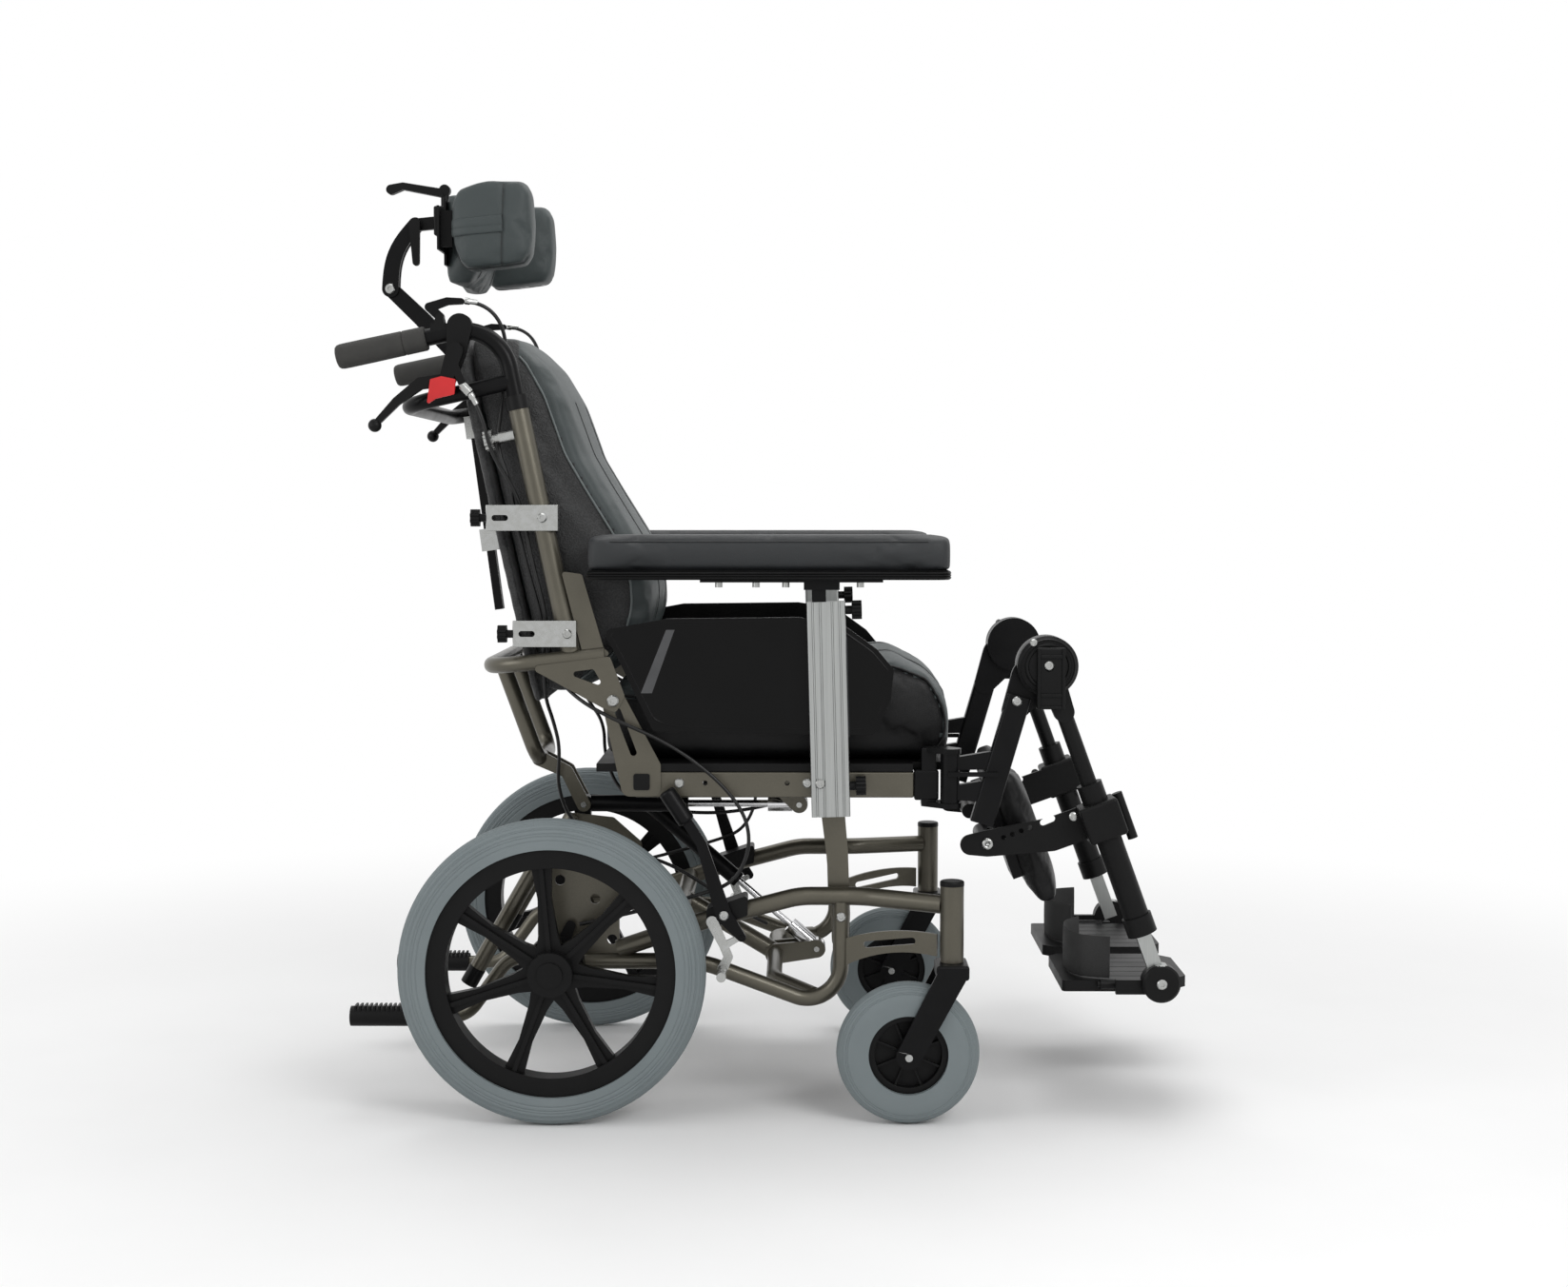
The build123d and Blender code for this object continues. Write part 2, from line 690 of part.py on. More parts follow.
def seat_cushion():
    """Foam cushion with a crowned top and a raised front bulge."""
    stations = [(-313, 42, 116, 188), (-296, 36, 133, 195), (-150, 32, 146, 197),
                (-10, 32, 158, 197), (90, 32, 168, 197), (140, 34, 148, 196),
                (163, 40, 116, 193), (170, 56, 98, 188)]
    base_gap = board_top + soft_gap - (tilt_z + 32)
    sections = []
    for x, low, high, half in stations:
        wide = half + cushion_half_width - 197
        corner = min(cushion_corner, (high - low) * 0.36)
        plane = across(tilt_x + x)
        sections.append(rounded_section(plane, wide, tilt_z + low + base_gap, tilt_z + high,
                                        corner, 5, 2.5))
    return loft(sections, ruled=True)


def seat_board():
    """Plywood board on the rails, narrower where it passes between the legrest sockets."""
    wide = block((tilt_x - 318, tilt_x + rail_front - 1), (-rail_outer + 1, rail_outer - 1),
                 (board_low, board_top))
    tongue = block((tilt_x, tilt_x + 166), (-rail_inner + 5, rail_inner - 5),
                   (board_low, board_top))
    return wide + tongue


def side_panel():
    outline = [from_tilt(-308, 211), from_tilt(-222, 227), from_tilt(-43, 229),
               from_tilt(16, 220), from_tilt(63, 186), from_tilt(86, 158),
               from_tilt(82, 118), from_tilt(60, 69), from_tilt(-240, 74),
               from_tilt(-285, 168)]
    return plate(outline, post_inner - panel_thickness, post_inner, 9)


post_lean = 1.5
post_foot = from_tilt(1, -39)


def on_post(shape):
    """Leans a shape that stands upright on the post's foot."""
    return Pos(post_foot[0], 0, post_foot[1]) * Rot(0, -post_lean, 0) * shape


def armrest_post():
    """Fluted extrusion with a square bore, and the bracket that holds it on the rail."""
    face = Pos(0, -stem_y) * Rectangle(post_width, post_depth)
    face = fillet(face.vertices(), 3)
    for x in (-18, -8, 8, 18):
        face -= Pos(x, -stem_y - post_depth / 2) * Circle(1.6)
    side = stem_side + 2 * running_fit
    face -= Pos(-9, -stem_y) * Rectangle(side, side)
    post = on_post(extrude(face, post_height))
    bracket = block((tilt_x - 22, tilt_x + 24), (-post_inner, -rail_outer),
                    (rail_low + 2, rail_top - 2))
    return [post, bracket - pin((tilt_x, tilt_z), tilt_pin_radius + 1, rail_outer - 5, post_inner)]


def armrest_stem():
    """Square tube that slides in the post and carries the plate under the pad."""
    top = post_height + 26
    bar = Pos(-9, -stem_y, (top + 120) / 2) * Box(stem_side, stem_side, top - 120)
    stem = on_post(bar)
    plate_z = tilt_z + 277
    carrier = block((tilt_x - 175, tilt_x + 70), (-stem_y - 16, -stem_y + 16),
                    (plate_z, plate_z + 4))
    hanger = block((tilt_x - 36, tilt_x + 12), (-stem_y - 15, -stem_y + 15),
                   (plate_z - 10, plate_z + 1))
    shapes = [stem + carrier + hanger]
    for x in (-150, -100, -60, 40):
        shapes.append(rod((tilt_x + x, -stem_y, plate_z - 7), (tilt_x + x, -stem_y, plate_z), 5))
    return shapes


pad_low = tilt_z + 281
pad_back = tilt_x - 326


def armrest_pad():
    """Padded arm with a ribbed bumper strip round its foot."""
    half = armrest_pad_width / 2
    middle = pad_back + armrest_pad_length / 2
    face = Pos(middle, -stem_y) * RectangleRounded(armrest_pad_length, armrest_pad_width, 20)
    bumper = extrude(Plane.XY.offset(pad_low) * face, armrest_bumper)
    bumper = fillet(bumper.edges().group_by(Axis.Z)[0], 3)
    sections = []
    low = pad_low + armrest_bumper
    high = low + armrest_foam
    ends = [(0, 0.55, 5), (3, 0.76, 2), (9, 0.92, 0.5), (22, 1, 0)]
    far_ends = [(armrest_pad_length - x, share, drop) for x, share, drop in reversed(ends)]
    for x, share, drop in ends + far_ends:
        plane = Plane(origin=(pad_back + x, -stem_y, 0), x_dir=(0, 1, 0), z_dir=(1, 0, 0))
        sections.append(rounded_section(plane, (half - 2.5) * share, low,
                                        high - drop - 3, 9, 3, 1.5))
    return [bumper, loft(sections, ruled=True)]


def seat_bolts():
    """Screws, clamp knobs and end plugs fixed to the seat."""
    shapes = []
    for x in (-205, -31):
        shapes.append(bolt(from_tilt(x, 3), rail_outer if x > -230 else rail_outer + 4))
    pivot_outer = rail_outer + hinge_plate_thickness + gusset_thickness + 0.3
    shapes.append(pin((recline_x, recline_z), tilt_pin_radius, rail_outer - 4, pivot_outer)
                  + bolt((recline_x, recline_z), pivot_outer, 8, 5)
                  + pin((recline_x, recline_z), 9, rail_outer - 5, rail_outer))
    shapes.append(bolt(from_tilt(-14, 6), post_inner + post_depth))
    plug = side_plane(rail_outer + hinge_plate_thickness) * Pos(
        *from_tilt(-256, 5)) * RectangleRounded(22, 22, 3)
    shapes.append(extrude(plug, 3))
    for height, y in ((post_height - 12, -stem_y), (40, -stem_y)):
        start = on_post(Pos(post_width / 2, y, height) * Sphere(1)).center()
        square = (math.cos(math.radians(post_lean)), 0, math.sin(math.radians(post_lean)))
        shapes.append(knob(tuple(start), square, 13, 22))
    return shapes


def write_seat():
    write_seat_frame()
    write("legrest_sockets", both([legrest_socket()]))
    write("seat_board", [seat_board()])
    write("seat_cushion", [seat_cushion()])
    write("side_panels", both([side_panel()]))
    write("armrest_posts", both(armrest_post()))
    write("seat_bolts", both(seat_bolts()) + [
        pin(tilt_strut_head, strut_pin_radius, -tilt_strut_y - bracket_half_gap - 7,
            -tilt_strut_y + bracket_half_gap + 7),
        pin(recline_strut_foot, strut_pin_radius, -recline_strut_y - bracket_half_gap - 7,
            -recline_strut_y + bracket_half_gap + 7)])
    write_pair("armrest_stem", armrest_stem())
    write_pair("armrest_pad", armrest_pad())


# ------------------------------------------------------------------ struts

recline_strut_head = from_recline(-58, -166)


def strut_eye(point, y, bore, half_length=10):
    return (pin(point, strut_eye_radius, -y - half_length, -y + half_length)
            - pin(point, bore, -y - 30, -y + 30))


def strut(foot, head, y, cylinder_length, travel, block_end):
    """A gas spring: an eye and rod at the foot, a cylinder with an open eye at the head."""
    start = Vector(*at(foot, y))
    end = Vector(*at(head, y))
    along = (end - start).normalized()
    rod_end = end - along * (travel + strut_cap + strut_end_gap)
    rod_bar = rod(tuple(start + along * 8), tuple(rod_end), strut_rod_radius)
    cover = rod(tuple(end - along * cylinder_length), tuple(end - along * 10),
                strut_cylinder_radius, strut_rod_radius + running_fit)
    foot_eye = strut_eye(foot, y, strut_pin_radius + running_fit)
    head_bore = strut_pin_radius + open_eye_clearance
    head_eye = strut_eye(head, y, head_bore)
    cover = cover + head_eye - pin(head, head_bore, -y - 30, -y + 30)
    cap = rod(tuple(end - along * strut_cap), tuple(end - along * 10), strut_cylinder_radius)
    cover = cover + (cap - pin(head, head_bore, -y - 30, -y + 30))
    head_block = rod(tuple(start + along * 10), tuple(start + along * block_end),
                     bracket_half_gap - 0.5)
    bar = rod_bar + head_block + foot_eye
    bar -= pin(foot, strut_pin_radius + running_fit, -y - 30, -y + 30)
    return [bar], [cover]


def write_struts():
    bar, cover = strut(strut_foot, tilt_strut_head, tilt_strut_y,
                       tilt_strut_cylinder_length, tilt_strut_travel, tilt_strut_block)
    write("tilt_strut_rod", bar)
    write("tilt_strut_cylinder", cover)
    bar, cover = strut(recline_strut_foot, recline_strut_head, recline_strut_y,
                       recline_strut_cylinder_length, recline_strut_travel,
                       recline_strut_block)
    write("recline_strut_rod", bar)
    write("recline_strut_cylinder", cover)


# ------------------------------------------------------------------ back

cane_foot = from_recline(-58, 65)
lean = math.radians(cane_lean)
cane_along = Vector(-math.sin(lean), 0, math.cos(lean))


def up_cane(distance, y=-cane_y):
    """A point on the cane's centre line this far above its foot."""
    return tuple(Vector(*at(cane_foot, y)) + cane_along * distance)


hoop_front = from_recline(-12, 62)
hoop_rear = from_recline(-173, 44)


def back_frame():
    """Canes, horizontal hoop, gussets, ears and the lower hoop, all welded."""
    cane = rod(up_cane(0), up_cane(cane_length), cane_radius)
    hoop = bent_tube([at(hoop_front, -hoop_y), at(hoop_rear, -hoop_y), at(hoop_rear, hoop_y),
                      at(hoop_front, hoop_y)], hoop_radius, [62, 62])
    gusset_inner = rail_outer + hinge_plate_thickness + 0.3
    gusset_outer = gusset_inner + gusset_thickness
    outline = [from_recline(-116, 46), from_recline(-4, 60), from_recline(16, 6),
               from_recline(4, -16), from_recline(-14, -10)]
    gusset = plate(outline, gusset_inner, gusset_outer, 5)
    window = plate([from_recline(-66, 38), from_recline(-26, 43), from_recline(-12, 18)],
                   gusset_inner - 5, gusset_outer + 5, 4)
    gusset -= window
    gusset -= pin((recline_x, recline_z), tilt_pin_radius + running_fit, gusset_inner - 5,
                  gusset_outer + 5)
    ear = plate([from_recline(-70, 175), from_recline(-42, 171), from_recline(-13, 71),
                 from_recline(0, 60), from_recline(-40, 58)], rail_outer - 3, rail_outer + 1, 4)
    half = cane + gusset + ear
    frame = half + mirrored(half) + hoop
    drop_y = 72.0
    low = from_recline(-121, -99)
    drops = bent_tube([at(hoop_rear, -drop_y), at(low, -drop_y), at(low, drop_y),
                       at(hoop_rear, drop_y)], hoop_radius, [26, 26])
    cheeks = None
    for inner in (-recline_strut_y - bracket_half_gap - 5, -recline_strut_y + bracket_half_gap):
        link = strip([(low, 11), (from_recline(-82, -118), 9), (recline_strut_head, 10)],
                     inner, inner + 5)
        cheeks = link if cheeks is None else cheeks + link
    frame = frame + drops + cheeks
    for y in (-cane_y, cane_y):
        frame -= rod(up_cane(130, y), up_cane(cane_length + 5, y),
                     handle_tube_radius + running_fit)
    return frame - pin(recline_strut_head, strut_pin_radius, -80, 80)


def shell_line(z):
    """x of the shell's rear face at this height above the recline pivot."""
    return recline_x - 113 - 0.2226 * z


def level(z, y=0.0):
    """A level plane with y across it and the chair's forward direction up it."""
    return Plane(origin=(0, y, recline_z + z), x_dir=(0, 1, 0), z_dir=(0, 0, -1))


shell_stations = [(-4, 190), (20, 194), (120, 194), (260, 194), (380, 190), (450, 180), (500, 150)]
cushion_stations = [(4, -60, 182), (22, -33, 190), (54, 10, 194), (72, 34, 194), (110, 48, 194),
                    (158, 44, 194), (220, 22, 194), (285, -18, 193), (333, -46, 191),
                    (364, -57, 188), (411, -74, 182), (459, -101, 168), (498, -139, 140)]


def back_shell():
    """Firm curved shell behind the back cushion."""
    sections = []
    for z, half in shell_stations:
        wide = half + back_half_width - 194
        rear = shell_line(z)
        sections.append(rounded_section(level(z), wide, rear, rear + shell_thickness,
                                        4, 4, 0.5))
    return loft(sections, ruled=True)


def back_cushion():
    """Contoured cushion: lumbar swell, drawn-in sides and a rounded top."""
    sections = []
    for z, front, half in cushion_stations:
        wide = half + back_half_width - 194
        rear = shell_line(z) + shell_thickness + 4 + soft_gap
        face_x = recline_x + front
        sections.append(rounded_section(level(z), wide, rear, face_x, 12, 6, 2))
    return loft(sections, ruled=True)


def clamp(height, width, rear, wraps):
    """Bright strap on a cane that holds the shell by a tab, with its star knob."""
    centre = Vector(*up_cane(height))
    outer = cane_y + cane_radius
    low = centre.Z - width / 2
    rear_x = centre.X - rear
    front_x = centre.X + (23 if wraps else 14)
    strap = block((rear_x, front_x), (-outer - 4, -outer - 0.3), (low, low + width), 1)
    strap -= strip([((rear_x + 12, centre.Z), 4), ((rear_x + 26, centre.Z), 4)],
                   outer - 5, outer + 10)
    tab = block((rear_x, rear_x + 6), (-outer - 0.4, 30 - back_half_width),
                (centre.Z - 10, centre.Z + 10))
    strap += tab - back_shell()
    if wraps:
        strap += block((front_x - 3, front_x), (-outer - 0.4, -back_half_width - 8),
                       (low, low + width), 0.5)
    head = bolt((centre.X + 2, centre.Z), outer + 4)
    star = knob((rear_x, -outer - 2, centre.Z), (-1, 0, 0), 12, 20)
    return [strap, head, star]


post_top = from_recline(-228, 451)
post_bottom = from_recline(-184, 113)


def head_bar_run():
    """Centre line of the upright headrest bar, from its foot to its top."""
    foot = Vector(*at(post_bottom, 0))
    top = Vector(*at(post_top, 0))
    return foot, top, (top - foot).normalized()


def head_socket():
    """Two guides on the shell that hold the headrest bar."""
    foot, top, along = head_bar_run()
    shapes = []
    for share in (0.30, 0.78):
        centre = foot + (top - foot) * share
        plane = Plane(origin=tuple(centre), x_dir=(0, 1, 0), z_dir=along)
        body = Rectangle(2 * head_bar_half_width + 12, head_bar_depth * 0.6 + 12)
        bore = Rectangle(2 * (head_bar_half_width + running_fit),
                         head_bar_depth * 0.6 + 2 * running_fit)
        guide = extrude(plane * (body - bore), 16, both=True)
        reach = shell_line(centre.Z - recline_z)
        foot_x = centre.X + head_bar_depth * 0.3 + 2
        pad = block((foot_x, reach + 3), (-15, 15), (centre.Z - 13, centre.Z + 13))
        shapes.append((guide + (pad - extrude(plane * bore, 40, both=True))) - back_shell())
    return shapes


def handle_boss():
    """Short boss and star knob that lock the push handle in the cane."""
    start = Vector(*up_cane(cane_length - 32))
    out = Vector(-math.cos(lean), 0, -math.sin(lean))
    boss = rod(tuple(start + out * (cane_radius - 1)), tuple(start + out * 34), 8)
    cane = rod(up_cane(0), up_cane(cane_length + 60), cane_radius)
    star = knob(tuple(start + out * 34), tuple(out), 14, 20)
    return [boss - cane, star]


def collar():
    start = up_cane(cane_length)
    ring_shape = rod(start, up_cane(cane_length + 19), cane_radius + 2)
    return ring_shape - rod(up_cane(cane_length - 5), up_cane(cane_length + 40),
                            handle_tube_radius + running_fit)


def write_back():
    frame = back_frame()
    write("back_frame", [frame])
    write("back_shell", [back_shell()])
    write("back_cushion", [back_cushion()])
    clamps = both(clamp(186, 35, 74, True) + clamp(26, 36, 72, False) + handle_boss()
                  + [collar()])
    strut_pin = pin(recline_strut_head, strut_pin_radius, -recline_strut_y - bracket_half_gap - 7,
                    -recline_strut_y + bracket_half_gap + 7)
    write("back_clamps", clamps + head_socket() + [strut_pin])


# ------------------------------------------------------------------ push handles

handle_low = 145.0
handle_bend = 62.0
grip_slope = 12.0
handle_knee_height = 455.0
handle_knee = (up_cane(handle_knee_height)[0], up_cane(handle_knee_height)[2])
slope = math.radians(grip_slope)
grip_along = Vector(-math.cos(slope), 0, -math.sin(slope))


def from_handle(x, z):
    """A point in the side plane this far from the knee of the handle tube."""
    return (handle_knee[0] + x, handle_knee[1] + z)


def along_grip(distance, y=-cane_y):
    return tuple(Vector(*at(handle_knee, y)) + grip_along * distance)


bow_front = from_handle(12.8, -80.2)
bow_rear = from_handle(-129.2, -112.2)


def handle_tube(radius):
    return bent_tube([up_cane(handle_low), at(handle_knee, -cane_y),
                      along_grip(grip_start + grip_length - grip_end_wall)],
                     radius, [handle_bend])


def push_handles():
    """Two bent tubes and the bow that joins them behind the back."""
    tube = handle_tube(handle_tube_radius)
    bow = bent_tube([at(bow_front, -cane_y), at(bow_rear, -cane_y), at(bow_rear, cane_y),
                     at(bow_front, cane_y)], cross_bow_radius, [48, 48])
    return tube + mirrored(tube) + bow


def hand_grip():
    """Rubber sleeve, closed over the end of the handle tube."""
    start = Vector(*along_grip(grip_start))
    end = Vector(*along_grip(grip_start + grip_length))
    grip = rod(tuple(start), tuple(end), grip_radius)
    grip = fillet(grip.edges().filter_by(GeomType.CIRCLE), 5)
    return grip - rod(tuple(start - grip_along * 5), tuple(end - grip_along * grip_end_wall),
                      handle_tube_radius)


lever_pivot = from_handle(-69.18, -79.22)
hand_lever_layer = (cane_y + 15.0, cane_y + 23.0)
trigger_pivot = from_handle(-80.18, 6.78)


def lever_mount():
    """Clamp on the handle tube that reaches down to the lever's pivot."""
    body = strip([(from_handle(-52.2, -6.2), 17), (from_handle(-57.2, -40.2), 13),
                  (lever_pivot, 10)], cane_y + 2, hand_lever_layer[0] - 0.5)
    ring_shape = pin(from_handle(-52.2, -10.2), 17, cane_y - 15, cane_y + 3)
    fork = strip([(from_handle(-57.2, -40.2), 11), (lever_pivot, 9)],
                 hand_lever_layer[1] + 0.5, hand_lever_layer[1] + 4)
    bridge = pin(from_handle(-56.2, -36.2), 8, cane_y + 5, hand_lever_layer[1] + 4)
    tower = block((handle_knee[0] - 92.2, handle_knee[0] - 70.2), (-cane_y - 9, -cane_y + 9),
                  (handle_knee[1] - 18.2, handle_knee[1] - 2.2))
    tube = handle_tube(handle_tube_radius + 0.02)
    pivot = pin(lever_pivot, 3, cane_y + 4, hand_lever_layer[1] + 4)
    bow = rod(at(bow_front, -cane_y), at(bow_rear, -cane_y), cross_bow_radius + 1)
    return body + ring_shape + fork + bridge + tower + pivot - tube - bow


def red_latch():
    """Parking latch of the drum brake."""
    face = [from_handle(-89.2, -78.2), from_handle(-74.2, -74.2), from_handle(-55.2, -78.2),
            from_handle(-57.2, -98.2), from_handle(-82.2, -104.2), from_handle(-94.2, -112.2)]
    return plate(face, hand_lever_layer[1] + 4.3, hand_lever_layer[1] + 9, 2)


def barrel_adjuster():
    start = Vector(*at(from_handle(-47.2, -86.2), -(hand_lever_layer[1] + 2)))
    end = Vector(*at(from_handle(-37.2, -96.2), -(hand_lever_layer[1] + 2)))
    arm = strip([(from_handle(-57.2, -60.2), 5), (from_handle(-47.2, -84.2), 5)],
                hand_lever_layer[1] + 0.5, hand_lever_layer[1] + 4)
    return [rod(tuple(start), tuple(end), 6)], arm


def hand_lever():
    """Curved drum brake lever with a ball end."""
    blade = strip([(lever_pivot, 9), (from_handle(-104.2, -83.2), 8),
                   (from_handle(-136.2, -107.2), 6), (from_handle(-160.2, -132.2), 4.5)],
                  *hand_lever_layer)
    middle = (hand_lever_layer[0] + hand_lever_layer[1]) / 2
    ball_centre = at(from_handle(-166.2, -139.2), -middle)
    ball = Pos(*ball_centre) * Rot(90, 0, 0) * Sphere(9)
    blade -= pin(lever_pivot, 3 + running_fit, cane_y - 5, hand_lever_layer[1] + 10)
    return [blade + ball]


def trigger():
    """Release lever on top of the handle, with its ferrule."""
    blade = strip([(trigger_pivot, 6), (from_handle(-94.2, 19.8), 6),
                   (from_handle(-70.2, 27.8), 5), (from_handle(-51.2, 27.8), 4)],
                  cane_y - 5, cane_y + 5)
    return [blade - pin(trigger_pivot, 2.5 + running_fit, cane_y - 20, cane_y + 20)]


def trigger_fork():
    """Cheeks and pin that hold the release lever."""
    cheeks = None
    for inner in (cane_y - 8.5, cane_y + 5.3):
        cheek = strip([(from_handle(-80.2, -7.2), 8), (trigger_pivot, 5)], inner, inner + 3.2)
        cheeks = cheek if cheeks is None else cheeks + cheek
    tube = handle_tube(handle_tube_radius + 0.02)
    return cheeks + pin(trigger_pivot, 2.5, cane_y - 8.5, cane_y + 8.5) - tube


def write_push_handles():
    write("push_handles", [push_handles()])
    write("hand_grips", both([hand_grip()]))
    adjuster, arm = barrel_adjuster()
    mount = lever_mount() + arm + trigger_fork()
    adjuster = [shape - mount for shape in adjuster]
    write("lever_mounts", both([mount, red_latch()] + adjuster))
    write_pair("drum_brake_lever", hand_lever())
    write_pair("release_trigger", trigger())


# ------------------------------------------------------------------ headrest

arm_hinge = from_recline(-337, 575)
head_hinge = from_recline(-300, 667)
arm_bow = 11.0
arm_stations = 13


def arm_curve():
    """Centre line and half width of the headrest's arm, bowed to the rear."""
    first = Vector(arm_hinge[0], arm_hinge[1])
    last = Vector(head_hinge[0], head_hinge[1])
    rear = Vector(first.Y - last.Y, last.X - first.X).normalized()
    stations = []
    for index in range(arm_stations):
        part = index / (arm_stations - 1)
        spot = first + (last - first) * part + rear * arm_bow * math.sin(math.pi * part)
        stations.append(((spot.X, spot.Y), 12 - 2 * part))
    return stations


arm_run = arm_curve()


def bar_strip(stations, half_width):
    """A flat bar standing fore and aft in the middle of the chair."""
    return strip(stations, -half_width, half_width)


def headrest_post():
    foot, top, along = head_bar_run()
    plane = Plane(origin=tuple(foot), x_dir=(0, 1, 0), z_dir=along)
    bar = extrude(plane * Rectangle(2 * head_bar_half_width, head_bar_depth * 0.6),
                  (top - foot).length)
    half = head_bar_half_width
    arm = bar_strip([((top.X, top.Z), 7), (from_recline(-243, 480), 11),
                     (from_recline(-290, 530), 12)], half)
    tongue = bar_strip([(from_recline(-290, 530), 12), (arm_hinge, 11)], 4)
    body = bar + arm + tongue
    return [body - pin(arm_hinge, 4 + running_fit, -20, 20)]


def headrest_arm():
    """Curved fork arm from the elbow bolt up to the head clamp."""
    cheeks = None
    for inner in (-8.5, 4.5):
        cheek = strip(arm_run, inner, inner + 4)
        cheeks = cheek if cheeks is None else cheeks + cheek
    bridge = strip([(arm_run[4][0], 8), (arm_run[8][0], 8)], -5, 5)
    bolt_bar = pin(arm_hinge, 4, -8.5, 8.5)
    body = cheeks + bridge + bolt_bar
    body -= pin(head_hinge, 5 + running_fit, -20, 20)
    head = bolt(arm_hinge, 8.5, 7, 4)
    return [body, head]


def headrest_pad_parts():
    """Clamp body, levers and the three pads on their plate."""
    half = 4.0
    hinge_bar = pin(head_hinge, 5, -8.5, 12)
    tongue = bar_strip([(head_hinge, 9), (from_recline(-270, 670), 9)], half)
    body = block((recline_x - 272, recline_x - 244), (-20, 20),
                 (recline_z + 650, recline_z + 692), 3)
    stalk = rod(at(from_recline(-258, 690), 0), at(from_recline(-258, 716), 0), 6)
    hanging = strip([(head_hinge, 8), (from_recline(-298, 612), 5)], 12, 18)
    upper = strip([(from_recline(-258, 716), 8), (from_recline(-262, 712), 6),
                   (from_recline(-318, 722), 5), (from_recline(-335, 717), 7)], -6, 6)
    back_plate = block((recline_x - 246, recline_x - 243), (-90, 90),
                       (recline_z + 600, recline_z + 690))
    metal = hinge_bar + tongue + body + stalk + hanging + upper + back_plate
    return metal


def headrest_pads():
    shapes = []
    centre = []
    for z, share in ((574, 0.72), (590, 0.95), (640, 1.0), (684, 0.95), (700, 0.72)):
        plane = Plane(origin=(0, 0, recline_z + z), x_dir=(0, 1, 0), z_dir=(0, 0, -1))
        depth = 44 * share
        rear = recline_x - 243 + soft_gap
        centre.append(rounded_section(plane, 92 - (1 - share) * 20, rear, rear + depth,
                                      8, 3, 1))
    shapes.append(loft(centre, ruled=True))
    wing = []
    for z, share in ((585, 0.80), (600, 0.96), (645, 1.0), (690, 0.97), (708, 0.82)):
        plane = Plane(origin=(0, -130, recline_z + z), x_dir=(0, 1, 0), z_dir=(0, 0, -1))
        rear = recline_x - 227
        length = 111
        middle = rear + length / 2
        half_long = length / 2 * share
        wing.append(rounded_section(plane, 35 * share, middle - half_long,
                                    middle + half_long, 10, 3, 2))
    return shapes + both([loft(wing, ruled=True)])


def wing_bracket():
    """Bent plate that carries a side pad."""
    return block((recline_x - 246, recline_x - 243), (-150, -90.0),
                 (recline_z + 615, recline_z + 675)) + block(
        (recline_x - 243.5, recline_x - 227.3), (-135, -128),
        (recline_z + 620, recline_z + 670))


def write_headrest():
    write("headrest_post", headrest_post())
    write("headrest_arm", headrest_arm())
    metal = headrest_pad_parts() + wing_bracket() + mirrored(wing_bracket())
    write("headrest_clamp", [metal])
    write("headrest_pads", headrest_pads())


# ------------------------------------------------------------------ legrests

leg_tilt = math.radians(leg_angle)
leg_along = Vector(math.sin(leg_tilt), 0, -math.cos(leg_tilt))


def down_leg(distance, y=-leg_y):
    """A point on the leg's centre line this far below the knee."""
    return tuple(Vector(knee_x, y, knee_z) + leg_along * distance)


def down_leg_xz(distance, across_leg=0.0):
    """The same point in the (x, z) plane, moved across the leg, forward being positive."""
    point = Vector(knee_x, 0, knee_z) + leg_along * distance
    point += Vector(math.cos(leg_tilt), 0, math.sin(leg_tilt)) * across_leg
    return (point.X, point.Z)


knee_layer = 233.0


def legrest_hanger():
    """Swing-away hanger: hinge barrel, square tube and knee cheek."""
    barrel = rod((swing_x, -swing_y, lug_low + soft_gap), (swing_x, -swing_y, lug_top - soft_gap),
                 13, 6 + running_fit)
    inner = hanger_inner
    outer = inner + hanger_depth
    foot = from_knee(-87, -214)
    top = from_knee(-37, -41)
    run = Vector(top[0] - foot[0], 0, top[1] - foot[1])
    long = run.length
    lean_angle = math.degrees(math.atan2(run.X, run.Z))
    box = Pos(foot[0], -(inner + outer) / 2, foot[1]) * Rot(0, lean_angle, 0) * Pos(
        0, 0, long / 2) * Box(hanger_width, hanger_depth, long)
    box = fillet(box.edges().group_by(SortBy.LENGTH)[-1], 4)
    tie_low = strip([((swing_x, lug_low + 14), 9), (from_knee(-88, -170), 14)], inner + 3,
                    outer - 3)
    tie_high = strip([((swing_x, lug_top - 14), 8), (from_knee(-76, -128), 12)], inner + 3,
                     outer - 3)
    latch = block((swing_x - 4, knee_x - 66), (-outer - 5, -outer - 1),
                  (lug_top - 30, lug_top - 24))
    cheek = strip([(from_knee(-44, -62), 16), (from_knee(-18, -18), 30)], inner - 2,
                  knee_layer - 0.5)
    disc = pin((knee_x, knee_z), knee_radius, inner - 12, knee_layer - 0.5)
    body = barrel + box + tie_low + tie_high
    body -= pin((knee_x, knee_z), knee_radius + play, inner - 15, outer + 15)
    body = body + cheek + disc
    body -= rod((swing_x, -swing_y, lug_low - 10), (swing_x, -swing_y, lug_top + 10),
                6 + running_fit)
    pivot = pin((knee_x, knee_z), 6, inner - 5, knee_layer + 22)
    return [body + pivot, bolt(from_knee(-41, -47), outer), latch]


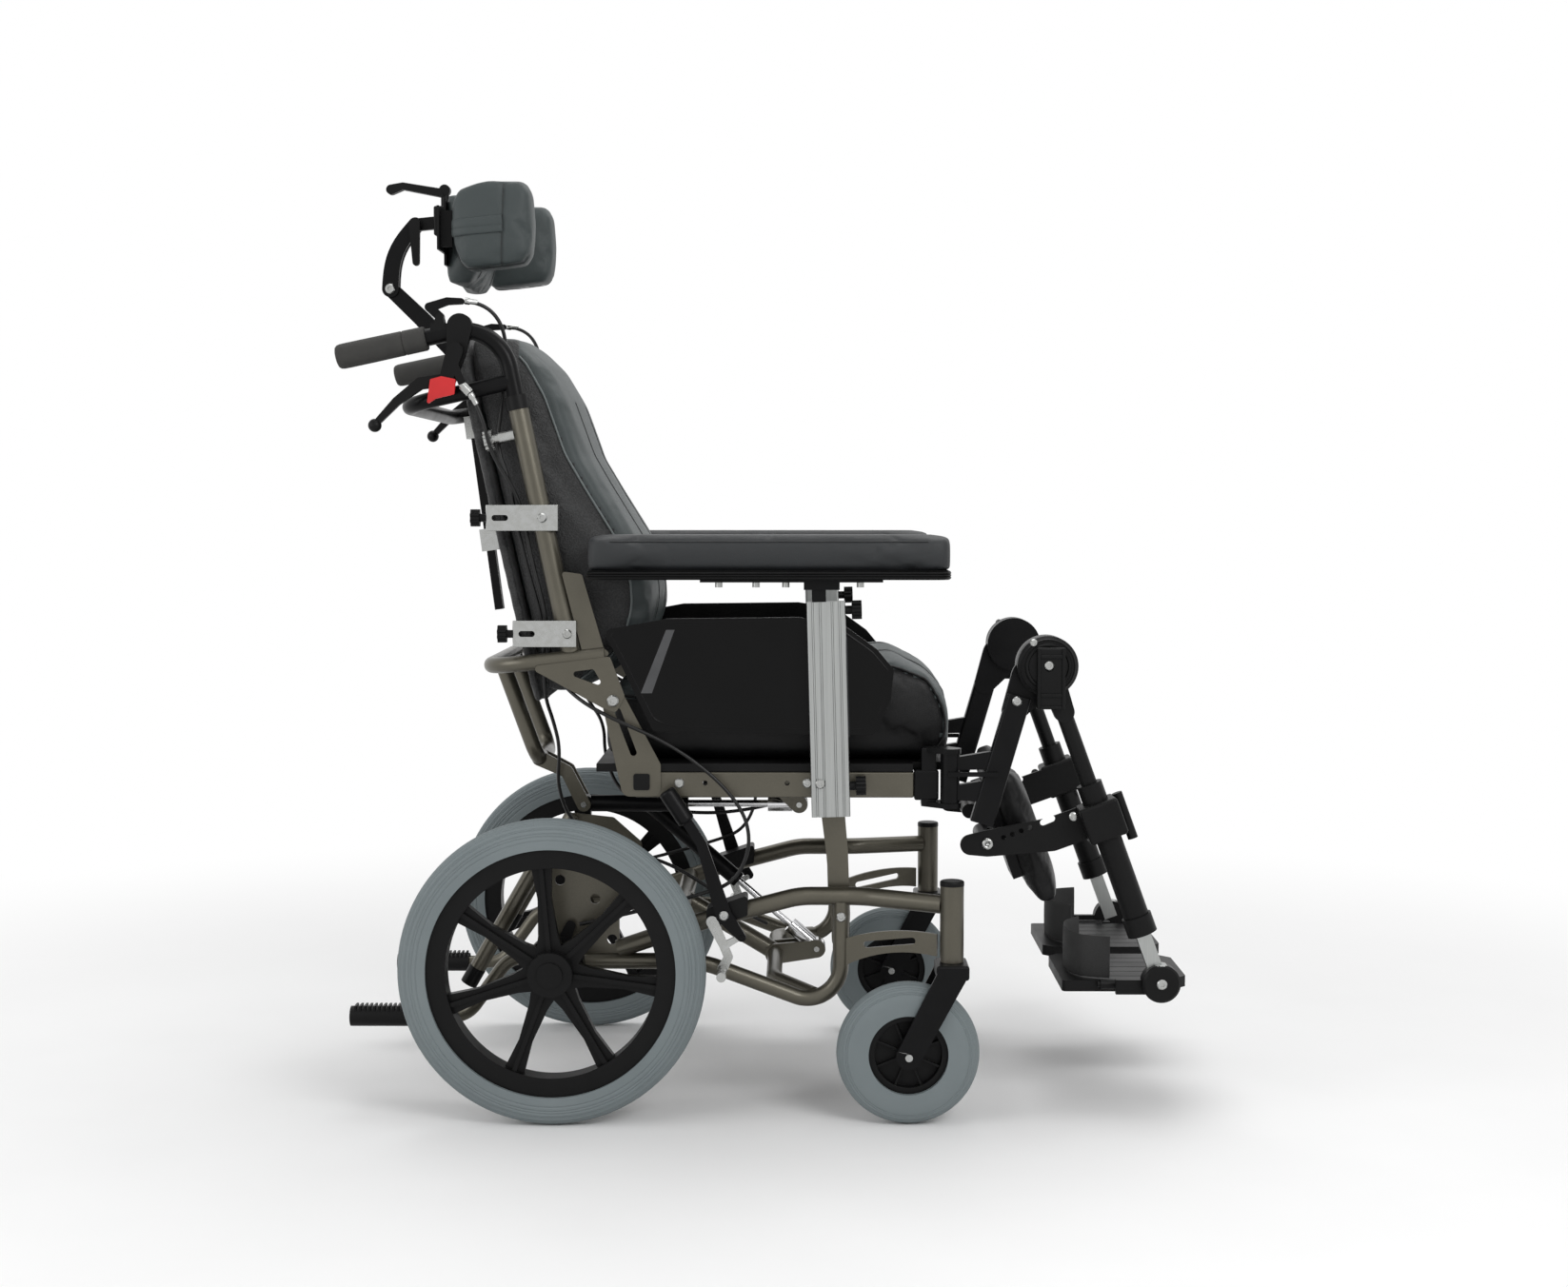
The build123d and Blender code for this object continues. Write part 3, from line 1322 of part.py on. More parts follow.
def legrest_leg():
    """Knee housing, tube, sleeve and the plate that carries the calf pad."""
    housing = pin((knee_x, knee_z), knee_radius, knee_layer, knee_layer + 20)
    housing = chamfer(housing.faces().sort_by(Axis.Y)[0].edges(), 4)
    grip = block((knee_x - 16, knee_x + 22), (-knee_layer - 30, -knee_layer - 19),
                 (knee_z - 57, knee_z + 26), 3)
    neck = strip([((knee_x, knee_z), 18), (down_leg_xz(66), 14)], knee_layer, knee_layer + 14)
    tube = rod(down_leg(30), down_leg(200), leg_tube_radius)
    sleeve = rod(down_leg(170), down_leg(388), sleeve_radius)
    foot_collar = rod(down_leg(362), down_leg(388), sleeve_radius + 3)
    clear = pin((knee_x, knee_z), knee_radius + play, 200, knee_layer - 0.2)
    bore_start = foot_bar_top - foot_retract - 2
    bore_plane = Plane(origin=down_leg(bore_start), x_dir=(0, 1, 0), z_dir=leg_along)
    bore = extrude(bore_plane * Rectangle(foot_bar_depth + 2 * running_fit,
                                          foot_bar_width + 2 * running_fit),
                   420 - bore_start)
    clamp_body = block((-27, 27), (-26, 24), (-26, 26), 5)
    clamp_body = Pos(*down_leg(222)) * Rot(0, -leg_angle, 0) * clamp_body
    plate_y = (leg_y - 24, leg_y - 24 + calf_plate_thickness)
    calf_bar = strip([(down_leg_xz(222, -6), 23), (down_leg_xz(222, -70), 23),
                      (calf_point, 18), (from_knee(-100, -247), 14)], *plate_y)
    calf_bar -= pin(calf_point, calf_pin_radius + running_fit, plate_y[0] - 5, plate_y[1] + 5)
    for step in (22, 34, 46, 58):
        hole = (calf_point[0] + step, calf_point[1] + step * 0.38)
        calf_bar -= pin(hole, 3.5, plate_y[0] - 5, plate_y[1] + 5)
    calf_bar -= strip([((calf_point[0] + 76, calf_point[1] + 29), 4.5),
                       ((calf_point[0] + 88, calf_point[1] + 34), 4.5)], plate_y[0] - 5,
                      plate_y[1] + 5)
    body = housing + neck + tube - clear
    body = body + grip + sleeve + foot_collar + clamp_body + calf_bar - bore
    body -= pin((knee_x, knee_z), 6 + running_fit, knee_layer - 10, knee_layer + 40)
    barrel = rod(down_leg_tilted(196, 32, leg_y - 8), down_leg_tilted(262, 32, leg_y - 8), 7)
    cap = bolt((knee_x, knee_z + 2), knee_layer + 30, 6, 3)
    return [body - barrel, cap, barrel]


def down_leg_tilted(distance, across_leg, y):
    point = down_leg_xz(distance, across_leg)
    return (point[0], -y, point[1])


calf_point = from_knee(-77, -245)


def calf_pad():
    """Padded calf rest on a backing plate that turns on the leg's slotted bar."""
    centre_y = -120.0
    centre = Vector(from_knee(-20, -243)[0], centre_y, from_knee(-20, -243)[1])
    # the pad stands parallel to the leg, facing forward
    facing = Plane(origin=tuple(centre), x_dir=(0, -1, 0), z_dir=-leg_along)
    sections = []
    for along, share in ((-95, 0.55), (-86, 0.85), (-60, 1.0), (0, 1.0), (60, 1.0),
                         (86, 0.85), (95, 0.55)):
        plane = facing.offset(along)
        half = 64 + 4 * share
        depth = 17 * share
        sections.append(rounded_section(plane, half, -depth, depth, min(9, depth * 0.6), 3, 1))
    pad = loft(sections, ruled=True)
    board = extrude(facing.offset(-52) * Pos(0, -17.3 - 9) * Rectangle(80, 18), 104)
    return pad, board


def calf_hinge():
    """Bar and pin between the pad's board and the leg's slotted bar."""
    inner = leg_y - 24
    bar = pin(calf_point, 11, 100, inner - 1)
    bar += strip([(calf_point, 11), (from_knee(-42, -251), 9)], 104, 136)
    stub = pin(calf_point, calf_pin_radius, inner - 5, inner + calf_plate_thickness + 0.5)
    return bar + stub


def write_calf_pads():
    pad, board = calf_pad()
    hinge = calf_hinge() - pad
    head = bolt(calf_point, leg_y - 24 + calf_plate_thickness + 0.5, 8, 5)
    write_pair("calf_pad", [pad, board + hinge, head])


foot_point = down_leg_xz(leg_length)


def foot_tube():
    """Aluminium bar that slides in the sleeve and ends in the foot joint."""
    plane = Plane(origin=down_leg(foot_bar_top), x_dir=(0, 1, 0), z_dir=leg_along)
    bar = extrude(plane * Rectangle(foot_bar_depth, foot_bar_width), leg_length - foot_bar_top)
    disc = pin(foot_point, foot_disc_radius, leg_y - 6, leg_y + 18)
    disc = chamfer(disc.faces().sort_by(Axis.Y)[0].edges(), 3)
    bracket_x = foot_point[0] - 60
    arm = block((bracket_x, foot_point[0]), (-leg_y - 4, -leg_y + 5),
                (foot_point[1] - 17, foot_point[1] + 3))
    hinge = rod((bracket_x - 22, -footplate_hinge_y, foot_point[1] - 8),
                (foot_point[0] - 4, -footplate_hinge_y, foot_point[1] - 8), 4)
    lug = block((foot_point[0] - 16, foot_point[0] - 4), (-leg_y + 4, -footplate_hinge_y + 6),
                (foot_point[1] - 16, foot_point[1] - 3.4))
    body = bar + disc + arm + lug
    return [body + hinge, bolt(foot_point, leg_y + 18, 7, 3)]


def footplate():
    """Ribbed plate hinged beside the foot joint, and its heel loop."""
    front = foot_point[0] + 46
    back = foot_point[0] - 129
    z = foot_point[1] - 8
    low = z - 12
    outline = Polygon((back, -footplate_outer), (front - 34, -footplate_outer),
                      (front, -footplate_outer + 34), (front, -footplate_inner - 26),
                      (front - 22, -footplate_inner), (back + 14, -footplate_inner),
                      (back, -footplate_inner - 14), align=None)
    outline = fillet(outline.vertices(), 6)
    body = extrude(Plane.XY.offset(low) * outline, footplate_thickness)
    for rib in range(5):
        y = -footplate_outer + 30 + rib * 30
        body -= block((back + 20, front - 30), (y, y + 2), (low + footplate_thickness - 1.2,
                                                            low + footplate_thickness + 5))
    bracket_x = foot_point[0] - 60
    knuckle = rod((bracket_x - 18, -footplate_hinge_y, z), (foot_point[0] - 17,
                  -footplate_hinge_y, z), footplate_hinge_radius, 4 + running_fit)
    tongue = block((bracket_x - 18, foot_point[0] - 17), (-footplate_hinge_y + 3,
                   -footplate_outer + 6), (low + 4, low + 12))
    bore = rod((bracket_x - 60, -footplate_hinge_y, z), (foot_point[0] + 60,
               -footplate_hinge_y, z), 4 + running_fit)
    body = body + knuckle + (tongue - bore)
    return [body, heel_loop(back, low + footplate_thickness)]


def heel_loop(back, top):
    """Webbing that stands at the rear of the plate and keeps the heel on it."""
    path = [(back + 66, -footplate_outer + 12), (back + 30, -footplate_outer + 22),
            (back + 12, -150), (back + 12, -footplate_inner - 60),
            (back + 40, -footplate_inner - 18)]
    line = FilletPolyline(*path, radius=14)
    face = trace(line, 2.4)
    strap = extrude(Plane.XY.offset(top) * face, 62)
    return strap


def write_legrests():
    write_pair("legrest_hanger", legrest_hanger())
    write_pair("legrest_leg", legrest_leg())
    write_pair("foot_tube", foot_tube())
    write_pair("footplate", footplate())
    write_calf_pads()


# ------------------------------------------------------------------ cables

def cable(points):
    """A cable along straight runs and the largest arcs that the runs allow."""
    corners = [Vector(*point) for point in points]
    radii = []
    for before, corner, after in zip(corners, corners[1:], corners[2:]):
        turn = math.radians((corner - before).get_angle(after - corner))
        shorter = min((corner - before).length, (after - corner).length)
        radii.append(0.45 * shorter / math.tan(turn / 2))
    print("cable bend radii", [round(radius) for radius in radii])
    return bent_tube(points, cable_radius, radii)


def drum_brake_cable():
    """From the lever's adjuster behind the cane, across the hinge plate, to the hub."""
    outer = hand_lever_layer[1] + 2
    behind = []
    for height, back in ((215, 24), (130, 27), (55, 23)):
        point = up_cane(height, 2 - cane_y)
        behind.append((point[0] - back, point[1], point[2]))
    return cable([at(from_handle(-36.4, -97.0), -outer), at(from_handle(-20.2, -125.2), -241),
                  at(from_handle(-12.2, -175.2), -233)] + behind + [
        at(from_recline(-90, 68), -204), at(from_recline(-80, 30), -203),
        at(from_recline(-48, 2), -232), at(from_recline(-4, -22), -243),
        at(from_recline(73, -55), -243), at(from_recline(137, -101), -243),
        at(from_recline(175, -146), -243), at(from_recline(186, -185), -243),
        at(from_axle(258, 138), -241), at(from_axle(237, 110), -238),
        at(from_axle(198, 97), -236), at(from_axle(150, 83), -236),
        at(from_axle(92, 68), -234), at(from_axle(33, 55), -233)])


def release_route():
    """The first half of a release cable, from its trigger down behind the cane."""
    behind = []
    for height, back in ((240, 34), (170, 38), (100, 35), (45, 31)):
        point = up_cane(height, 9 - cane_y)
        behind.append((point[0] - back, point[1], point[2]))
    return [at(from_handle(-46.7, 28.3), -cane_y), at(from_handle(-24.2, 25.8), -212),
            at(from_handle(-0.2, 3.8), -203), at(from_handle(7.8, -35.2), -196.5),
            at(from_handle(-0.2, -110.2), -197), at(from_handle(-8.2, -165.2), -199)] + behind


def tilt_cable():
    return cable(release_route() + [
        at(from_recline(-96, 55), -205), at(from_recline(-97, 5), -199),
        at(from_recline(-88, -38), -160), at(from_recline(-86, -80), -105),
        at(from_recline(-96, -140), -60), at(from_recline(-78, -200), -22),
        at(from_recline(-20, -240), -4), at(from_recline(50, -255), 2),
        at(from_recline(110, -290), 6), at(from_recline(165, -332), 8),
        at(from_recline(205, -352), 14)])


def recline_cable():
    route = [(x, -y, z) for x, y, z in release_route()]
    return cable(route + [
        at(from_recline(-96, 55), 205), at(from_recline(-95, 5), 199),
        at(from_recline(-72, -34), 160), at(from_recline(-42, -64), 105),
        at(from_recline(-37, -110), 50), at(from_recline(-10, -160), 10),
        at(from_recline(50, -180), -8), at(from_recline(120, -185), -14),
        at(from_recline(180, -178), -20), at(from_recline(208, -170), -27)])


def write_cables():
    write("control_cables", both([drum_brake_cable()]) + [tilt_cable(), recline_cable()])


os.makedirs("parts", exist_ok=True)
write_wheels()
write_base()
write_parking_brakes()
write_seat()
write_struts()
write_back()
write_push_handles()
write_headrest()
write_legrests()
write_cables()
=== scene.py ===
import math
import bmesh
import bpy
from mathutils import Matrix, Vector, noise
from mathutils.bvhtree import BVHTree
from mathutils.kdtree import KDTree


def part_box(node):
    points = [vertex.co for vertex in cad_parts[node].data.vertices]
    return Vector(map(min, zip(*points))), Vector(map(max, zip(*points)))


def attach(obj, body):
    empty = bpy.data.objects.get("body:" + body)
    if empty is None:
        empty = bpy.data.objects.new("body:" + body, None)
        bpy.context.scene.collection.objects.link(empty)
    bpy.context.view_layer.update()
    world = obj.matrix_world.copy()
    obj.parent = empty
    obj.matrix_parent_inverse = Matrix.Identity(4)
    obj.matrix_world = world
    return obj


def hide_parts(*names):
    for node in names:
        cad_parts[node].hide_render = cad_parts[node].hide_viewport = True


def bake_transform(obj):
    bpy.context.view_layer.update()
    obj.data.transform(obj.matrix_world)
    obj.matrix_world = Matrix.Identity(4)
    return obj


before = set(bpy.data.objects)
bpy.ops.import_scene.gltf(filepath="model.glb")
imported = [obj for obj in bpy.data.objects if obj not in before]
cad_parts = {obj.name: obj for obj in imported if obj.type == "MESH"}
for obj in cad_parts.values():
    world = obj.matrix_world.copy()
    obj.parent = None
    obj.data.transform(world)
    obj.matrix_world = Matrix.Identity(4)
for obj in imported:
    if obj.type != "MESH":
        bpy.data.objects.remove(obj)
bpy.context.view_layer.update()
scene = bpy.context.scene
sides = (("right", -1), ("left", 1))   # the camera sees the right side
mm = 0.001


# ---- shader nodes as expressions

class Wire:                            # one output socket, used like a number
    def __init__(self, paint, socket):
        self.paint = paint
        self.socket = socket

    def math(self, operation, first, second=0.0):
        return self.paint.add("ShaderNodeMath", {"operation": operation}, {0: first, 1: second})

    def __add__(self, other):
        return self.math("ADD", self, other)

    def __mul__(self, other):
        return self.math("MULTIPLY", self, other)

    __radd__ = __add__
    __rmul__ = __mul__


class Paint:                           # one material and what feeds its shader
    def __init__(self, name, **fixed):
        self.material = bpy.data.materials.new(name)
        self.material.use_nodes = True
        self.tree = self.material.node_tree
        self.shader = self.tree.nodes["Principled BSDF"]
        self.place = self.add("ShaderNodeTexCoord", out="Object")
        for socket, value in fixed.items():
            self.shader.inputs[socket.replace("_", " ")].default_value = value

    def add(self, kind, settings=None, sockets=None, out=0):
        node = self.tree.nodes.new(kind)
        for name, value in (settings or {}).items():
            setattr(node, name, value)
        for name, value in (sockets or {}).items():
            if isinstance(value, Wire):
                self.tree.links.new(value.socket, node.inputs[name])
            else:
                node.inputs[name].default_value = value
        return Wire(self, node.outputs[out])

    def stretched(self, scale):
        return self.add("ShaderNodeMapping", {}, {"Vector": self.place, "Scale": scale})

    def noise(self, scale, detail=3.0, where=None):
        return self.add("ShaderNodeTexNoise", {}, {"Vector": where or self.place, "Scale": scale,
                                                   "Detail": detail})

    def cells(self, scale, feature="F1", where=None):
        return self.add("ShaderNodeTexVoronoi", {"feature": feature},
                        {"Vector": where or self.place, "Scale": scale})

    def ease(self, value, low, high, start=0.0, end=1.0):
        return self.add("ShaderNodeMapRange", {"interpolation_type": "SMOOTHSTEP"},
                        {"Value": value, "From Min": low, "From Max": high,
                         "To Min": start, "To Max": end})

    def mix(self, amount, first, second):
        return self.add("ShaderNodeMix", {"data_type": "RGBA"}, {0: amount, 6: first, 7: second}, 2)

    def bump(self, height, distance, strength=1.0):
        return self.add("ShaderNodeBump", {}, {"Height": height, "Distance": distance,
                                               "Strength": strength})

    def feed(self, **wires):
        for socket, wire in wires.items():
            self.tree.links.new(wire.socket, self.shader.inputs[socket.replace("_", " ")])
        return self.material


def tone(red, green, blue):
    return (red, green, blue, 1.0)


# ---- finishes

colours = {                            # the darkest and the lightest tone of each finish
    "frame_coat": (tone(0.046, 0.042, 0.030), tone(0.142, 0.131, 0.102)),
    "black_metal": (tone(0.0018, 0.0018, 0.0020), tone(0.0050, 0.0050, 0.0054)),
    "bright_metal": (tone(0.29, 0.30, 0.295), tone(0.44, 0.45, 0.44)),
    "plated_steel": (tone(0.33, 0.33, 0.31), tone(0.47, 0.48, 0.48)),
    "strut_metal": (tone(0.55, 0.55, 0.56), tone(0.75, 0.75, 0.76)),
    "tyre_grey": (tone(0.128, 0.153, 0.160), tone(0.186, 0.214, 0.221)),
    "grip_rubber": (tone(0.022, 0.022, 0.021), tone(0.046, 0.045, 0.042)),
    "cable_rubber": (tone(0.003, 0.003, 0.003), tone(0.009, 0.009, 0.009)),
    "mesh_fabric": (tone(0.002, 0.002, 0.0022), tone(0.013, 0.0135, 0.014)),
    "webbing": (tone(0.008, 0.008, 0.008), tone(0.028, 0.028, 0.028)),
    "cover_fabric": (tone(0.026, 0.034, 0.0345), tone(0.045, 0.0555, 0.056)),
    "pad_vinyl": (tone(0.013, 0.0145, 0.0155), tone(0.025, 0.027, 0.029)),
    "black_vinyl": (tone(0.0015, 0.0015, 0.0015), tone(0.0045, 0.0045, 0.005)),
    "red_plastic": (tone(0.40, 0.006, 0.008), tone(0.58, 0.012, 0.014)),
    "pale_trim": (tone(0.085, 0.10, 0.10), tone(0.13, 0.145, 0.145)),
    "reflective_film": (tone(0.030, 0.031, 0.033), tone(0.062, 0.063, 0.066)),
    "dark_thread": (tone(0.010, 0.011, 0.011), tone(0.022, 0.023, 0.023)),
}


def bronzeCoat():
    paint = Paint("frame_coat", Metallic=0.72, Coat_Weight=0.25, Coat_Roughness=0.2)
    flake = paint.cells(2600.0)
    cloud = paint.noise(22.0, 4.0)
    colour = paint.mix(flake * 0.6 + cloud * 0.3, *colours["frame_coat"])
    return paint.feed(Base_Color=colour, Roughness=0.30 + cloud * 0.16,
                      Normal=paint.bump(flake, 0.00004, 0.35))


def blackCoat():
    paint = Paint("black_metal", Specular_IOR_Level=0.12)
    peel = paint.noise(650.0, 2.0)
    cloud = paint.noise(30.0)
    colour = paint.mix(cloud, *colours["black_metal"])
    return paint.feed(Base_Color=colour, Roughness=0.24 + cloud * 0.16,
                      Normal=paint.bump(peel, 0.00006, 0.5))


def anodised():
    paint = Paint("bright_metal", Metallic=1.0)
    streak = paint.noise(1.0, 3.0, paint.stretched((900.0, 900.0, 9.0)))
    cloud = paint.noise(14.0)
    colour = paint.mix(streak, *colours["bright_metal"])
    return paint.feed(Base_Color=colour, Roughness=0.27 + streak * 0.12 + cloud * 0.08,
                      Normal=paint.bump(streak, 0.00002, 0.4))


def zincPlate():
    paint = Paint("plated_steel", Metallic=1.0)
    stain = paint.noise(120.0, 4.0)
    scratch = paint.noise(1.0, 2.0, paint.stretched((1500.0, 1500.0, 200.0)))
    colour = paint.mix(stain, *colours["plated_steel"])
    return paint.feed(Base_Color=colour, Roughness=0.20 + stain * 0.14,
                      Normal=paint.bump(scratch, 0.00001, 0.12))


def strutSteel():
    paint = Paint("strut_metal", Metallic=1.0)
    ring = paint.noise(1.0, 2.0, paint.stretched((1300.0, 40.0, 1300.0)))
    return paint.feed(Base_Color=paint.mix(ring, *colours["strut_metal"]),
                      Roughness=0.1 + ring * 0.1)


def greyTyre():
    paint = Paint("tyre_grey", Specular_IOR_Level=0.35)
    grain = paint.noise(900.0, 3.0)
    dust = paint.noise(9.0, 5.0)
    colour = paint.mix(dust, *colours["tyre_grey"])
    return paint.feed(Base_Color=colour, Roughness=0.5 + dust * 0.25,
                      Normal=paint.bump(grain, 0.00008, 0.5))


def mouldedBlack(name="black_plastic", dark=0.0020, light=0.0060, rough=0.32, grainSize=1500.0):
    paint = Paint(name, Specular_IOR_Level=0.14)
    grain = paint.cells(grainSize, "DISTANCE_TO_EDGE")
    cloud = paint.noise(18.0, 4.0)
    colour = paint.mix(cloud, tone(dark, dark, dark * 1.03), tone(light, light, light * 1.02))
    return paint.feed(Base_Color=colour, Roughness=rough + cloud * 0.18,
                      Normal=paint.bump(grain, 0.00008, 0.35))


def foamGrip():
    paint = Paint("grip_rubber", Specular_IOR_Level=0.3)
    pore = paint.cells(1400.0)
    cloud = paint.noise(45.0, 3.0)
    colour = paint.mix(cloud, *colours["grip_rubber"])
    return paint.feed(Base_Color=colour, Roughness=0.66 + cloud * 0.2,
                      Normal=paint.bump(pore, 0.00015, 0.6))


def cableSleeve():
    paint = Paint("cable_rubber", Specular_IOR_Level=0.3)
    cloud = paint.noise(60.0)
    return paint.feed(Base_Color=paint.mix(cloud, *colours["cable_rubber"]),
                      Roughness=0.28 + cloud * 0.15)


def leatherette(name, rough=0.42, shine=0.4):
    paint = Paint(name, Specular_IOR_Level=shine)
    pebble = paint.cells(620.0, "DISTANCE_TO_EDGE")
    fine = paint.noise(1700.0, 2.0)
    cloud = paint.noise(7.0, 3.0)
    pull = paint.noise(1.0, 4.0, paint.stretched((16.0, 22.0, 34.0)))
    colour = paint.mix(cloud * 0.6 + fine * 0.4, *colours[name])
    height = paint.ease(pebble, 0.0, 0.16) * 0.00010 + fine * 0.00005 + pull * 0.0011
    return paint.feed(Base_Color=colour, Roughness=rough + cloud * 0.16,
                      Normal=paint.bump(height, 1.0, 0.8))


def spacerMesh():
    paint = Paint("mesh_fabric", Sheen_Weight=0.15)
    hole = paint.cells(430.0)
    thread = paint.noise(1.0, 2.0, paint.stretched((1800.0, 1800.0, 500.0)))
    colour = paint.mix(paint.ease(hole, 0.3, 0.75), *colours["mesh_fabric"])
    return paint.feed(Base_Color=colour, Roughness=0.55 + thread * 0.2,
                      Normal=paint.bump(paint.ease(hole, 0.2, 0.8) + thread * 0.2, 0.0004, 0.9))


def webbing():
    paint = Paint("webbing")
    weave = paint.noise(1.0, 1.0, paint.stretched((260.0, 1500.0, 1500.0)))
    cloud = paint.noise(25.0)
    return paint.feed(Base_Color=paint.mix(weave, *colours["webbing"]),
                      Roughness=0.7 + cloud * 0.2, Normal=paint.bump(weave, 0.0003, 0.8))


def dyed(name, rough=0.35):
    paint = Paint(name)
    cloud = paint.noise(30.0, 4.0)
    grain = paint.noise(1500.0)
    return paint.feed(Base_Color=paint.mix(cloud, *colours[name]), Roughness=rough + cloud * 0.15,
                      Normal=paint.bump(grain, 0.00004, 0.4))


finishes = {
    "frame_coat": bronzeCoat(), "black_metal": blackCoat(), "bright_metal": anodised(),
    "plated_steel": zincPlate(), "strut_metal": strutSteel(), "tyre_grey": greyTyre(),
    "black_plastic": mouldedBlack(),
    "panel_plastic": mouldedBlack("panel_plastic", 0.0008, 0.0022, 0.12, 2600.0),
    "grip_rubber": foamGrip(), "cable_rubber": cableSleeve(),
    "cover_fabric": leatherette("cover_fabric", 0.40, 0.35),
    "pad_vinyl": leatherette("pad_vinyl", 0.42, 0.3),
    "mesh_fabric": spacerMesh(),
}
blackVinyl = leatherette("black_vinyl", 0.28, 0.2)
blackStrap = webbing()
redPlastic = dyed("red_plastic")
paleTrim = dyed("pale_trim", 0.45)
reflector = dyed("reflective_film", 0.3)
darkThread = dyed("dark_thread", 0.6)
print("stage: finishes")


# ---- mesh helpers

def weldedCopy(node):                  # a merged copy of a CAD node's mesh
    shape = bmesh.new()
    shape.from_mesh(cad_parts[node].data)
    bmesh.ops.remove_doubles(shape, verts=shape.verts, dist=0.00001)
    bmesh.ops.recalc_face_normals(shape, faces=shape.faces)
    return shape


def asPiece(name, shape, finish, body, sharp=38.0):
    mesh = bpy.data.meshes.new(name)
    shape.normal_update()
    shape.to_mesh(mesh)
    shape.free()
    for one in (finish if isinstance(finish, (list, tuple)) else [finish]):
        mesh.materials.append(one)
    mesh.polygons.foreach_set("use_smooth", [True] * len(mesh.polygons))
    mesh.set_sharp_from_angle(angle=math.radians(sharp))
    piece = bpy.data.objects.new(name, mesh)
    scene.collection.objects.link(piece)
    if body:
        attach(piece, body)
    return piece


def spunAbout(shape, centre, axis, turns=96):
    bmesh.ops.spin(shape, geom=shape.verts[:] + shape.edges[:], cent=centre, axis=axis,
                   angle=2 * math.pi, steps=turns, use_merge=True)
    bmesh.ops.remove_doubles(shape, verts=shape.verts, dist=0.00002)
    bmesh.ops.recalc_face_normals(shape, faces=shape.faces)


def profileSpin(name, outline, centre, axis, finish, body, turns=96, closed=True, sharp=38.0):
    shape = bmesh.new()                # outline: (radius, distance along the axis) from the centre
    along = Vector(axis).normalized()
    out = along.orthogonal().normalized()
    verts = [shape.verts.new(Vector(centre) + out * radius + along * rise) for radius, rise in outline]
    pairs = zip(verts, verts[1:] + verts[:1]) if closed else zip(verts, verts[1:])
    for first, second in pairs:
        shape.edges.new((first, second))
    spunAbout(shape, centre, axis, turns)
    return asPiece(name, shape, finish, body, sharp)


def smoothRoute(points):               # points along the spline that these control points steer
    curve = bpy.data.curves.new("route", "CURVE")
    curve.dimensions = "3D"
    curve.resolution_u = 12
    spline = curve.splines.new("NURBS")
    spline.points.add(len(points) - 1)
    for spot, point in zip(spline.points, points):
        spot.co = (*point, 1.0)
    spline.order_u = 3
    spline.use_endpoint_u = True
    carrier = bpy.data.objects.new("route", curve)
    mesh = bpy.data.meshes.new_from_object(carrier)
    route = [vert.co.copy() for vert in mesh.vertices]
    bpy.data.objects.remove(carrier)
    bpy.data.meshes.remove(mesh)
    return route


def tubeAlong(shape, route, radius, around=10, squeeze=(1.0, 1.0), sideways=None, closed=False):
    loops = []                         # rings set square to the route, then bridged
    normal = sideways or (route[1] - route[0]).orthogonal()
    count = len(route)
    for index, point in enumerate(route):
        before = route[index - 1] if closed or index else point
        after = route[(index + 1) % count] if closed or index < count - 1 else point
        ahead = (after - before).normalized()
        normal = (normal - ahead * normal.dot(ahead)).normalized()
        other = ahead.cross(normal)
        ring = bmesh.ops.create_circle(shape, segments=around, radius=radius)["verts"]
        turn = Matrix((normal * squeeze[0], other * squeeze[1], ahead)).transposed().to_4x4()
        bmesh.ops.transform(shape, matrix=Matrix.Translation(point) @ turn, verts=ring)
        loops.append({edge for vert in ring for edge in vert.link_edges})
    pairs = list(zip(loops, loops[1:])) + ([(loops[-1], loops[0])] if closed else [])
    for first, second in pairs:
        bmesh.ops.bridge_loops(shape, edges=list(first | second))
    if not closed:
        for loop in (loops[0], loops[-1]):
            bmesh.ops.edgeloop_fill(shape, edges=list(loop))


def dress(node, finish, edge):
    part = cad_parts[node]        # a CAD node keeps its mesh and gets a finish and soft edges
    part.data.materials.clear()
    part.data.materials.append(finish)
    part.data.polygons.foreach_set("use_smooth", [True] * len(part.data.polygons))
    weld = part.modifiers.new("weld", "WELD")
    weld.merge_threshold = 0.00001
    softEdges(part, edge)


def softEdges(piece, width):
    bevel = piece.modifiers.new("edges", "BEVEL")
    bevel.width = width
    bevel.segments = 2
    bevel.limit_method = "ANGLE"
    bevel.angle_limit = math.radians(32)
    even = piece.modifiers.new("even", "WEIGHTED_NORMAL")
    even.weight = 60


def tintFaces(node, finish, low, high):    # a second finish on the faces inside a box
    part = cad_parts[node]
    if finish.name not in part.data.materials:
        part.data.materials.append(finish)
    spot = part.data.materials.find(finish.name)
    for face in part.data.polygons:
        middle = face.center
        if all(low[i] <= middle[i] <= high[i] for i in range(3)):
            face.material_index = spot


def lumps(node):                       # the separate solids of a CAD node, largest box first
    shape = weldedCopy(node)
    left = set(shape.faces)
    found = []
    while left:
        group, edge = set(), [next(iter(left))]
        while edge:
            face = edge.pop()
            if face in group:
                continue
            group.add(face)
            edge += [other for side in face.edges for other in side.link_faces if other not in group]
        left -= group
        found.append(sorted(face.index for face in group))
    shape.free()
    parts = []
    for wanted in found:
        part = weldedCopy(node)
        part.faces.ensure_lookup_table()
        keep = set(wanted)
        bmesh.ops.delete(part, geom=[face for face in part.faces if face.index not in keep],
                         context="FACES")
        parts.append(part)
    return sorted(parts, key=lambda part: -boxVolume(part))


def boxVolume(part):
    low, high = reach(part.verts)
    return (high.x - low.x) * (high.y - low.y) * (high.z - low.z)


